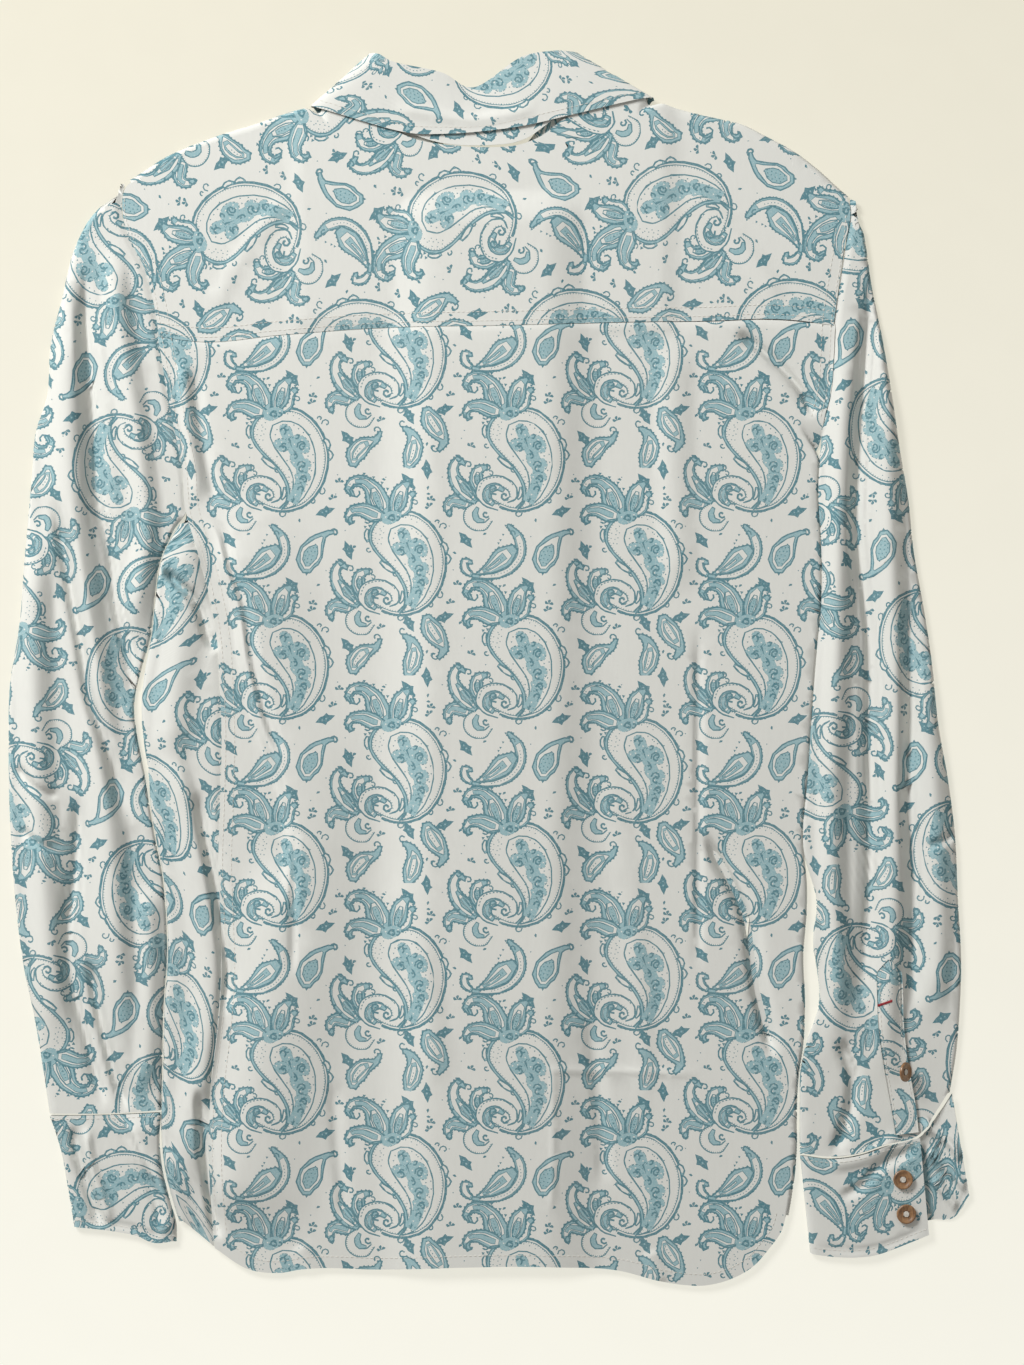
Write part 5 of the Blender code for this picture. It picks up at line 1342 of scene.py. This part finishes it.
def spliced(net, places):
    """Where places on a net's flat cloth lie in the shirt, and the net's normals there."""
    points, flat = net.points, net.flat
    index = np.arange(points.shape[0] * points.shape[1]).reshape(points.shape[:2])
    quads = np.stack([index[:-1, :-1], index[:-1, 1:], index[1:, 1:], index[1:, :-1]], axis=-1).reshape(-1, 4)
    cells = np.vstack([quads[:, (0, 1, 2)], quads[:, (0, 2, 3)]])
    flat_points = flat.reshape(-1, 2)
    tree = BVHTree.FromPolygons([(x, y, 0) for x, y in flat_points], cells.tolist())
    cell = cells[[tree.find_nearest((x, y, 0))[2] for x, y in places]]
    a, b, c = (flat_points[cell[:, corner]] for corner in range(3))
    area = cross(b - a, c - a)
    area = np.where(np.abs(area) < 1e-9, 1e-9, area)
    share_b = np.clip(cross(places - a, c - a) / area, 0, 1)
    share_c = np.clip(cross(b - a, places - a) / area, 0, 1 - share_b)
    weight = np.stack([1 - share_b - share_c, share_b, share_c], axis=1)[..., None]
    shaded = normals_of(points * (1, 1, FOLD_SHADE))
    return tuple((values.reshape(-1, 3)[cell] * weight).sum(axis=1) for values in (points, shaded))


def cross(a, b):
    return a[:, 0] * b[:, 1] - a[:, 1] * b[:, 0]


def placed(name, data):
    """An object in the scene, at the origin."""
    thing = bpy.data.objects.new(name, data)
    bpy.context.scene.collection.objects.link(thing)
    return thing


def border_of(net):
    flat = net.flat
    return np.vstack([flat[0], flat[1:, -1], flat[-1, -2::-1], flat[-2:0:-1, 0]])


def cloth_panel(name, net, outward, lay, printed, materials):
    """A panel's shell: its flat cloth cut along the print, laid back on its net, with a turned edge."""
    border = border_of(net)
    lines = print_lines(border.min(axis=0), border.max(axis=0), lay, printed)
    inner = net.flat[1:-1, 1:-1][needed(net.points)]
    rim = np.arange(len(border))
    edges = np.column_stack([rim, np.roll(rim, -1)]).tolist()
    start = len(border)
    for line in lines:
        edges += [(start + step, start + step + 1) for step in range(len(line) - 1)]
        start += len(line)
    verts, triangles = triangulated(np.vstack([border] + lines + [inner]), edges)
    triangles = np.array(triangles)
    middles = verts[triangles].mean(axis=1)
    kept = inside(middles, border)
    triangles, middles = triangles[kept], middles[kept]
    used, corners = np.unique(triangles, return_inverse=True)
    corners = corners.reshape(-1, 3)
    solid, normal = spliced(net, verts[used])
    normal *= outward / np.linalg.norm(normal, axis=1, keepdims=True)
    facing = np.cross(solid[corners[:, 1]] - solid[corners[:, 0]], solid[corners[:, 2]] - solid[corners[:, 0]])
    if (facing * normal[corners[:, 0]]).sum() < 0:
        corners = corners[:, ::-1]
    mesh = bpy.data.meshes.new(name)
    mesh.from_pydata(((solid - MIDDLE) * MM).tolist(), [], corners.tolist())
    mesh.polygons.foreach_set("material_index", tones_at(middles, lay, printed))
    uv = mesh.uv_layers.new(name="cloth")
    uv.data.foreach_set("uv", (verts[used][corners.ravel()] * MM).ravel())
    for material in materials:
        mesh.materials.append(material)
    turn_edge(mesh, normal)
    return placed(name, mesh)


def turn_edge(mesh, normal):
    """Turns a panel's border inwards, and gives the panel the smooth normals of its net."""
    shown = len(mesh.polygons)
    bm = bmesh.new()
    bm.from_mesh(mesh)
    border = [edge for edge in bm.edges if edge.is_boundary]
    into = {tuple(vert.co): normal[vert.index] for edge in border for vert in edge.verts}
    made = bmesh.ops.extrude_edge_only(bm, edges=border)
    for vert in made["geom"]:
        if isinstance(vert, bmesh.types.BMVert):
            vert.co -= Vector(into[tuple(vert.co)]) * EDGE_TURN * MM
    bm.to_mesh(mesh)
    bm.free()
    mesh.shade_smooth()
    walls = len(mesh.polygons) - shown
    vertex = np.zeros(len(mesh.loops), np.int32)
    mesh.loops.foreach_get("vertex_index", vertex)
    facing = np.zeros(len(mesh.polygons) * 3, np.float32)
    mesh.polygons.foreach_get("normal", facing)
    sizes = np.concatenate([np.full(shown, 3), np.full(walls, 4)])
    vectors = np.repeat(facing.reshape(-1, 3), sizes, axis=0)
    vectors[:shown * 3] = normal[vertex[:shown * 3]]
    mesh.normals_split_custom_set(vectors.tolist())


# -------------------- materials
TWILL = (0.785, 0.788, 0.738)
WASH_TINT = (0.31, 0.50, 0.535)
INK_TINT = (0.095, 0.245, 0.29)
SEWING = (0.80, 0.77, 0.70)
COTTON = (0.78, 0.74, 0.66)
RED = (0.42, 0.02, 0.03)
BLOTCH = (0.56, 0.52, 0.47)
# the table's colour, and its painted light: a glow of its own, from GLOW_TOP to GLOW_FOOT, brighter towards the
# hem
TABLE_TOP, TABLE_FOOT = (0.30, 0.287, 0.24), (0.30, 0.295, 0.265)
GLOW_TOP, GLOW_FOOT = (0.54, 0.515, 0.425), (0.706, 0.693, 0.618)
TABLE_REACH = 0.42      # the table brightens from this far above the middle to as far below it, in metres
RIB_SCALE = 0.31416 / 0.0007    # one rib of the twill in 0.7 mm
RIB_LEAN = math.radians(63)
RIB_RISE = 0.6          # height of the ribs beside that of the slubs
RIB_DEPTH = 0.00012


class Finish:
    """A material in the making."""

    def __init__(self, name, **values):
        self.material = bpy.data.materials.new(name)
        self.material.use_nodes = True
        self.nodes, self.links = self.material.node_tree.nodes, self.material.node_tree.links
        self.shader = self.nodes["Principled BSDF"]
        self.give(self.shader, values)

    def give(self, node, values):
        """Sets a node's inputs, named with a bar for each space."""
        for name, value in values.items():
            node.inputs[name.replace("_", " ")].default_value = value

    def node(self, kind, feed=None, **values):
        """A new node whose first input is fed by a socket."""
        node = self.nodes.new("ShaderNode" + kind)
        self.give(node, values)
        if feed:
            self.links.new(feed, node.inputs[0])
        return node

    def join(self, socket, name):
        self.links.new(socket, self.shader.inputs[name])

    def noise(self, feed, scale, detail=2.0):
        return self.node("TexNoise", feed, Scale=scale, Detail=detail).outputs[0]

    def mixed(self, share, first, second):
        """A colour mix of two sockets or colours."""
        mix = self.node("Mix", share)
        mix.data_type = "RGBA"
        for socket, value in zip(mix.inputs[6:8], (first, second)):
            if isinstance(value, tuple):
                socket.default_value = (*value, 1)
            else:
                self.links.new(value, socket)
        return mix.outputs[2]

    def spread(self, value, low, high, to_low=0.0, to_high=1.0):
        """A value moved from one range to another."""
        remap = self.node("MapRange", value)
        for socket, number in zip(remap.inputs[1:5], (low, high, to_low, to_high)):
            socket.default_value = number
        return remap.outputs[0]

    def flecked(self, colour, value, low, high, most, fleck):
        """A colour with so much of another where a value is high."""
        return self.mixed(self.spread(value, low, high, 0.0, most), colour, fleck)


def darker(tint, share):
    return tuple(share * part for part in tint)


def twill(name, tint, shows=0.0):
    """Printed cotton twill: diagonal ribs, slubs, a soft nap; shows is how far the bare cloth grins through."""
    finish = Finish(name, Roughness=0.86, Sheen_Weight=0.12, Sheen_Roughness=0.6, Specular_IOR_Level=0.25)
    place = finish.node("UVMap")
    place.uv_map = "cloth"
    cloth = place.outputs[0]
    lean = finish.node("Mapping", cloth, Rotation=(0, 0, RIB_LEAN)).outputs[0]
    ribs = finish.node("TexWave", lean, Scale=RIB_SCALE, Distortion=0.6, Detail_Scale=3.0)
    slub = finish.noise(finish.node("Mapping", cloth, Scale=(1.0, 0.25, 1.0)).outputs[0], 420.0, 3.0)
    colour = finish.flecked(tint, slub, 0.35, 0.7, 0.10, darker(tint, 0.8))
    colour = finish.flecked(colour, finish.noise(cloth, 14.0), 0.3, 0.7, 0.06, BLOTCH)
    if shows:
        colour = finish.flecked(colour, finish.noise(cloth, 900.0), 0.45, 0.75, shows, TWILL)
    finish.join(colour, "Base Color")
    rise = finish.node("Math", ribs.outputs["Fac"])
    rise.operation = "MULTIPLY_ADD"
    rise.inputs[1].default_value = RIB_RISE
    finish.links.new(slub, rise.inputs[2])
    bump = finish.node("Bump", Strength=0.5, Distance=RIB_DEPTH)
    finish.links.new(rise.outputs[0], bump.inputs["Height"])
    finish.join(bump.outputs[0], "Normal")
    return finish.material


def thread(name, tint):
    """Spun thread, mottled by its ply."""
    finish = Finish(name, Roughness=0.7, Sheen_Weight=0.15)
    place = finish.node("TexCoord").outputs["Object"]
    colour = finish.flecked(tint, finish.noise(place, 2500.0), 0.4, 0.65, 0.35, darker(tint, 0.6))
    finish.join(colour, "Base Color")
    return finish.material


def horn_material():
    """Mottled brown horn, polished: streaks that run one way, lighter pools."""
    finish = Finish("horn_polished", Roughness=0.36, Coat_Weight=0.25, Coat_Roughness=0.25)
    place = finish.node("TexCoord").outputs["Object"]
    along = finish.node("Mapping", place, Scale=(1.0, 0.3, 1.0), Rotation=(0, 0, 0.6)).outputs[0]
    streak = finish.noise(along, 900.0, 4.0)
    colour = finish.flecked((0.36, 0.19, 0.085), streak, 0.35, 0.65, 1.0, (0.17, 0.085, 0.038))
    colour = finish.flecked(colour, finish.noise(place, 260.0), 0.45, 0.7, 0.6, (0.43, 0.25, 0.12))
    finish.join(colour, "Base Color")
    finish.join(finish.spread(streak, 0.3, 0.7, 0.3, 0.45), "Roughness")
    return finish.material


def table_material():
    """A plain pale table: warm white, faintly mottled, with painted light: it glows, more towards the hem."""
    finish = Finish("pale_table", Roughness=0.95, Emission_Strength=1.0)
    place = finish.node("TexCoord").outputs["Object"]
    down = finish.spread(finish.node("SeparateXYZ", place).outputs[1], TABLE_REACH, -TABLE_REACH)
    colour = finish.mixed(down, TABLE_TOP, TABLE_FOOT)
    colour = finish.flecked(colour, finish.noise(place, 30.0), 0.4, 0.6, 0.012, (0.8, 0.76, 0.66))
    finish.join(colour, "Base Color")
    # painted light: the table glows, more towards the hem
    finish.join(finish.mixed(down, GLOW_TOP, GLOW_FOOT), "Emission Color")
    return finish.material


def new_object(name, bm, *materials):
    mesh = bpy.data.meshes.new(name)
    bm.to_mesh(mesh)
    bm.free()
    for material in materials:
        mesh.materials.append(material)
    return placed(name, mesh)


# -------------------- sewing
STITCH_RISE = 0.15      # share of its own thickness that a stitch stands off the cloth
TACK = [(236.7, -206.0), (245.0, -203.0)]


def stitch(bm, place, along, normal, length, thick):
    """One stitch: a short bead of thread along the cloth."""
    across = np.cross(normal, along)
    bead = Matrix(np.column_stack([along * length / 2, across * thick / 2, normal * thick / 2]).tolist())
    bead = (bead.to_4x4() @ Matrix.Scale(MM, 4)).to_3x3().to_4x4()
    spot = Matrix.Translation(((place - MIDDLE) * MM).tolist())
    bmesh.ops.create_icosphere(bm, subdivisions=1, radius=1.0, matrix=spot @ bead)


def sewn(bm, starts, stops, rise, length, thick):
    """Stitches from one row of places to another, as upright as their way allows, raised off the cloth."""
    for a, b in zip(starts, stops):
        along = unit(b - a)
        normal = unit(np.array((0.0, 0.0, 1.0)) - along * along[2])
        stitch(bm, (a + b) / 2 + normal * rise, along, normal, length, thick)


def stitch_row(bm, line, height, pitch=3.0, length=2.3, thick=0.5):
    """Stitches along a line on the cloth."""
    count = int(line.length / pitch)
    share = (np.arange(count) + 0.5) / count
    half = length / 2 / line.length
    ends = (line.at(np.clip(share + side * half, 0, 1)) for side in (-1, 1))
    sewn(bm, *(np.column_stack([end, height(*end.T)]) for end in ends), thick * STITCH_RISE, length, thick)


def stitch_path(bm, points, pitch=3.0, length=2.3, thick=0.5):
    """Stitches along a line of places on a net."""
    way = gone(points)
    middles = np.arange(pitch / 2, way[-1] - length / 2, pitch)
    raised = points + (0, 0, thick * STITCH_RISE)
    ends = (np.column_stack([np.interp(middles + side * length / 2, way, axis) for axis in raised.T])
            for side in (-1, 1))
    sewn(bm, *ends, 0, length, thick)


def on_cloth(x, y):
    return skin_top(x, y) + crease_height(x, y)


def on_cuff(x, y):
    return cuff_top(x, y) + crease_height(x, y)


def on_placket(x, y):
    return skin_top(x, y) + PLACKET_LIFT


def below(line, head, foot):
    """The part of a line between two heights."""
    points = line.at(np.linspace(0, 1, 400))
    kept = points[(points[:, 1] < head) & (points[:, 1] > foot)]
    return Line(kept[np.linspace(0, len(kept) - 1, min(60, len(kept))).astype(int)])


def placket_at(share):
    """Places along the placket's middle, the ways square to it, and its half width there."""
    middle = Line([(row.x, row.y) for row in PLACKET])
    table = np.array([(row.y, row.half) for row in PLACKET])[::-1]
    place = middle.at(share)
    return place, middle.normal(share), np.interp(place[:, 1], table[:, 0], table[:, 1])


def topstitching():
    """The rows of stitches that show, each a distance inside its edge."""
    bm = bmesh.new()
    seam, left, right = Line(YOKE_SEAM), joined(ARMHOLE_LEFT, SIDE_SEAM), Line(ARMHOLE_RIGHT)
    for line, distance in ((seam, 2.0), (seam, 7.5), (Line(HEM_BACK), 7.0)):
        stitch_row(bm, moved(line, distance), on_cloth)
    for line, distance, head, foot in ((left, 1.6, 286, -345), (left, 7.0, 262, -345),
                                       (right, -1.6, 276, 152), (right, -7.0, 268, 152)):
        stitch_row(bm, below(moved(line, distance), head, foot), on_cloth)
    for edge, distance in ((LEFT_CUFF_EDGE_SEAM, -2.0), (LEFT_CUFF_EDGE_FREE, 4.0)):
        stitch_row(bm, moved(Line(edge), distance), on_cuff)
    cuff = creased(cuff_right_net(), 1, "cuff_right").points
    for row in (1, -3):
        stitch_path(bm, cuff[row, 1:np.argmin(cuff[row, :, 0])])
    fall = fall_net().points[2]
    stitch_path(bm, fall[np.argmin(fall[:, 0]) + 1:np.argmax(fall[:, 0])])
    middle, across, half = placket_at(np.linspace(0.03, 0.97, 30))
    for side in (-1, 1):
        edge = middle + across * (side * np.maximum(half - 1.6, 0.2))[:, None]
        stitch_row(bm, Line(edge), on_placket, 2.8, 2.0, 0.45)
    return new_object("topstitching", bm, thread("cream_thread", SEWING))


def bar_tack():
    """The bar of close stitches that ends the placket's opening."""
    bm = bmesh.new()
    a, b = np.array(TACK)
    along = np.array([*(b - a), 0]) / np.linalg.norm(b - a)
    slant = unit(np.array([-along[1], along[0], 0]) + 0.35 * along)
    for share in np.linspace(0, 1, 17):
        spot = a + (b - a) * share
        place = np.array([*spot, on_placket(*spot[:, None])[0] + 0.2])
        stitch(bm, place, slant, np.array([0, 0, 1.0]), 2.0, 0.62)
    return new_object("bar_tack", bm, thread("red_thread", RED))


# -------------------- buttons
# A button's section from its middle out, over its rim and back under: (radius, height)
BUTTON_SECTION = [(0.0, 0.05), (3.1, 0.05), (3.9, 0.35), (4.6, 0.85), (5.3, 1.02), (5.8, 0.75), (6.0, 0.2),
                  (5.9, -0.5), (5.2, -1.0), (0.0, -1.05)]
HOLE = 1.25             # how far its four holes lie to each side of its middle
THREADS = [((-1, -1), (1, 1)), ((-1, 1), (1, -1)), ((-1, -1), (1, -1)), ((-1, 1), (1, 1)), ((-1, -1), (-1, 1)),
           ((1, -1), (1, 1))]     # the holes that its thread joins
STRAND = 0.22           # half the way between the two strands of a thread


def button_disc(name, polished):
    """A dished disc with a raised rim and four holes."""
    bm = bmesh.new()
    verts = [bm.verts.new((radius, 0, z)) for radius, z in BUTTON_SECTION]
    section = [bm.edges.new(pair) for pair in zip(verts[:-1], verts[1:])]
    bmesh.ops.spin(bm, geom=verts + section, cent=(0, 0, 0), axis=(0, 0, 1), dvec=(0, 0, 0), angle=math.tau,
                   steps=36, use_merge=True, use_duplicate=False)
    bmesh.ops.remove_doubles(bm, verts=bm.verts, dist=0.001)
    bmesh.ops.recalc_face_normals(bm, faces=bm.faces)
    disc = new_object(name, bm, polished)
    bm = bmesh.new()
    for x in (-HOLE, HOLE):
        for y in (-HOLE, HOLE):
            bmesh.ops.create_cone(bm, cap_ends=True, segments=12, radius1=0.7, radius2=0.8, depth=1.4,
                                  matrix=Matrix.Translation((x, y, 0.1)))
    holes = new_object(name + "_holes", bm)
    cut = disc.modifiers.new("holes", "BOOLEAN")
    cut.object = holes
    cut.solver = "EXACT"
    bpy.context.view_layer.update()
    carved = bpy.data.meshes.new_from_object(disc.evaluated_get(bpy.context.evaluated_depsgraph_get()))
    disc.modifiers.clear()
    disc.data = carved
    bpy.data.objects.remove(holes)
    return disc


def button_thread(name, cotton):
    """Two strands of thread between each pair of holes."""
    bm = bmesh.new()
    for start, stop in THREADS:
        for shift in (-STRAND, STRAND):
            a, b = np.array(start) * HOLE, np.array(stop) * HOLE
            length = np.linalg.norm(b - a)
            along = np.array([*(b - a) / length, 0])
            middle = np.array([*(a + b) / 2, 0.3]) + np.array([-along[1], along[0], 0]) * shift
            strand = np.column_stack([along * length * 0.55, np.cross((0, 0, 1), along) * 0.3, (0, 0, 0.35)])
            bmesh.ops.create_icosphere(bm, subdivisions=1, radius=1.0,
                                       matrix=Matrix.Translation(middle) @ Matrix(strand.tolist()).to_4x4())
    return new_object(name, bm, cotton)


def button_turn(drum):
    """How a button lies: the way its flat faces look."""
    normals = np.zeros(len(drum.data.polygons) * 3, np.float32)
    areas = np.zeros(len(drum.data.polygons), np.float32)
    drum.data.polygons.foreach_get("normal", normals)
    drum.data.polygons.foreach_get("area", areas)
    normals = normals.reshape(-1, 3)
    flat = -normals[np.argmax(areas)]
    backs = normals @ flat < -0.98
    fronts = normals @ flat > 0.98
    axis = flat if areas[backs].sum() > areas[fronts].sum() else -flat
    return Vector(axis.tolist()).to_track_quat("Z", "Y").to_matrix().to_4x4()


def button(name, node, polished, cotton):
    """A four-hole button with its thread, in the place of its drum."""
    low, high = (np.array(corner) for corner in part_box(node))
    turn = button_turn(bpy.data.objects[node])
    disc = button_disc(name, polished)
    for piece in (disc, button_thread(name + "_thread", cotton)):
        piece.data.transform(Matrix.Translation((low + high) / 2) @ turn @ Matrix.Scale(MM, 4))
        piece.data.shade_smooth()
        piece.data.set_sharp_from_angle(angle=math.radians(40))
        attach(piece, "root")
    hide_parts(node)


# -------------------- the shirt
def placket_net():
    place, across, half = placket_at(np.linspace(0, 1, 44))
    plan = place[:, None] + across[:, None] * np.linspace(-1, 1, 11)[None, :, None] * half[:, None, None]
    return laid_flat(lifted(plan, on_placket), 0, 10, 5)


def fall_net():
    points = lofted_band(FALL, np.linspace(0, 1, 19), CLOTH / 2, 8)
    return banded(pushed(points, SKIN))


def stand_net():
    points = lofted_band(STAND, np.linspace(0, 1, 9), STAND_LOWEST, 5)
    return banded(pushed(points, SKIN))


def cuff_right_net():
    points = lofted_band(RIGHT_CUFF, np.linspace(0, 1, 30), FACED / 2, 6)
    return banded(pushed(points, SKIN))


def cuff_top(x, y):
    return top(x, y) + CUFF_RISE + SKIN


def cuff_under(x, y):
    return np.full(np.shape(x), FACED / 2 - SKIN)


def cuff_left_net():
    rows = np.linspace(0, 1, 34)
    outer = Line(LEFT_CUFF_OUTER).at(rows)
    inner = moved(Line(LEFT_CUFF_INNER), -SEAM / 2).at(rows)
    across = unit(outer - inner)
    full = np.ones(len(rows))
    inner_roll = rolled_edge(inner, -across, cuff_top, cuff_under, full, inner, 0)
    outer_roll = rolled_edge(outer, across, cuff_top, cuff_under, full, outer, 0)
    lines = Line(LEFT_CUFF_EDGE_SEAM[::-1]), Line(LEFT_CUFF_EDGE_FREE[::-1])
    sides = inner_roll[0][:, :2], outer_roll[0][:, :2]
    share = np.linspace(0, 1, 31)
    top_points = lifted(patch(*sides, *lines, rows, share), cuff_top)
    under_share = [np.linspace(0, LEFT_CUFF_LAP, 8), np.linspace(LEFT_CUFF_LAP + LEFT_CUFF_GAP, 1, 10)]
    under_share = np.concatenate(under_share)
    under_points = lifted(patch(*sides, *lines, rows, under_share), cuff_under)
    points = np.concatenate([under_points[:, 7:0:-1], np.stack(inner_roll[::-1], axis=1), top_points[:, 1:-1],
                             np.stack(outer_roll, axis=1), under_points[:, -2:7:-1]], axis=1)
    first = 7 + len(inner_roll) - 1
    return laid_flat(points, first, first + len(share) - 1, first + len(share) // 2)


def cut_of(net):
    """The width, length and area, in metres, of a net's cloth laid out flat."""
    border = border_of(net)
    width, length = np.ptp(border, axis=0) * MM
    area = abs(signed_area(border)) * MM * MM
    return float(width), float(length), float(area)


def creased(net, outward, node):
    """A net with the fine creases, where it shows from above."""
    points = net.points.copy()
    facing = normals_of(points)[..., 2] * outward
    if node == "cuff_right":
        facing = np.where(points[..., 0] > TURNED_OUT, np.abs(facing), facing)
    shows = np.clip(facing, 0, 1)
    points[..., 2] += shows * crease_height(points[..., 0], points[..., 1], node)
    return Net(points, net.flat)


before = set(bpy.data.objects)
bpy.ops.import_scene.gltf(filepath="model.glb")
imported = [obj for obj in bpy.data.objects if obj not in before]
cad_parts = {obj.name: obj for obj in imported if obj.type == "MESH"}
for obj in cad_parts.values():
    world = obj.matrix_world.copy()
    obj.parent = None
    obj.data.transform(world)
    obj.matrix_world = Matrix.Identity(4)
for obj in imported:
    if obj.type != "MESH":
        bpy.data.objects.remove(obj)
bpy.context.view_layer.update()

cloth = [twill("twill", TWILL), twill("printed_wash", WASH_TINT, 0.3), twill("printed_ink", INK_TINT, 0.2)]
polished, cotton = horn_material(), thread("cream_cotton", COTTON)
# Each panel: its node, its net, which way the net looks, where the print's repeat starts on its cloth
# with its turn, mirror and size, and what it rests on
Panel = namedtuple("Panel", "node net outward lay rests")
PANELS = [
    Panel("back", back_net, -1, Lay(23.2, 121.1, 0), ["front_left_cloth", "front_right_cloth"]),
    Panel("yoke", yoke_net, -1, Lay(-11.2, 278.1, 92.7, False, 1.04),
          ["collar_stand_cloth", "front_left_cloth"]),
    Panel("front_left", front_left_net, -1, Lay(210.5, -90.3, 0, True), ["floor"]),
    Panel("front_right", front_right_net, 1, Lay(23.2, 121.1, 0, True), ["floor", "front_band_cloth"]),
    Panel("front_band", front_band_net, 1, Lay(0, 0, 0, True), ["floor"]),
    Panel("sleeve_left", sleeve_left_net, 1, Lay(-213.3, -133.3, 184, False, 1.03), ["floor"]),
    Panel("sleeve_right", sleeve_right_net, -1, Lay(260.7, 19.6, 189, False, 1.03), ["floor"]),
    Panel("collar_stand", stand_net, 1, Lay(190, -30, 90), ["yoke_cloth"]),
    Panel("collar_fall", fall_net, 1, Lay(222.5, 35, 270), ["floor", "collar_stand_cloth"]),
    Panel("cuff_left", cuff_left_net, 1, Lay(-215.9, -317.8, 90), ["floor"]),
    Panel("cuff_right", cuff_right_net, 1, Lay(-9, 13, 270), ["floor"]),
    Panel("placket_right", placket_net, 1, Lay(260.7, 30, 0), ["sleeve_right_cloth"]),
]
printed = cut_repeat(one_repeat())
pieces, cuts, rests = {}, {}, {}
for node, make_net, outward, lay, under_it in PANELS:
    net = creased(make_net(), outward, node)
    piece = cloth_panel(node + "_cloth", net, outward, lay, printed, cloth)
    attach(piece, "root")
    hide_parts(node)
    pieces[node] = piece
    cuts[node], rests[node] = cut_of(net), under_it

stitches, tack = topstitching(), bar_tack()
for piece in (stitches, tack):
    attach(piece, "root")
for node in sorted(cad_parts):
    if node.startswith("button_"):
        button(node + "_horn", node, polished, cotton)

floor_bm = bmesh.new()
bmesh.ops.create_grid(floor_bm, x_segments=1, y_segments=1, size=TABLE_HALF)
floor = new_object("floor", floor_bm, table_material())

camera_data = bpy.data.cameras.new("camera")
camera = placed("camera", camera_data)
bpy.context.scene.camera = camera
camera.location = [value * MM for value in CAMERA]
camera_data.lens = camera_data.sensor_width * CAMERA[2] / PICTURE_HEIGHT

lamp_data = bpy.data.lights.new("soft_0", "AREA")
lamp_data.energy, lamp_data.size = LAMP_POWER, LAMP_SIZE
lamp = placed("soft_0", lamp_data)
lamp.location = LAMP_PLACE
lamp.rotation_euler = lamp.location.to_track_quat("Z", "Y").to_euler()

world = bpy.data.worlds.new("studio")
bpy.context.scene.world = world
world.use_nodes = True
sky = world.node_tree.nodes["Background"]
sky.inputs["Color"].default_value = ROOM_LIGHT
sky.inputs["Strength"].default_value = ROOM_STRENGTH
bpy.context.scene.view_settings.view_transform = "Standard"
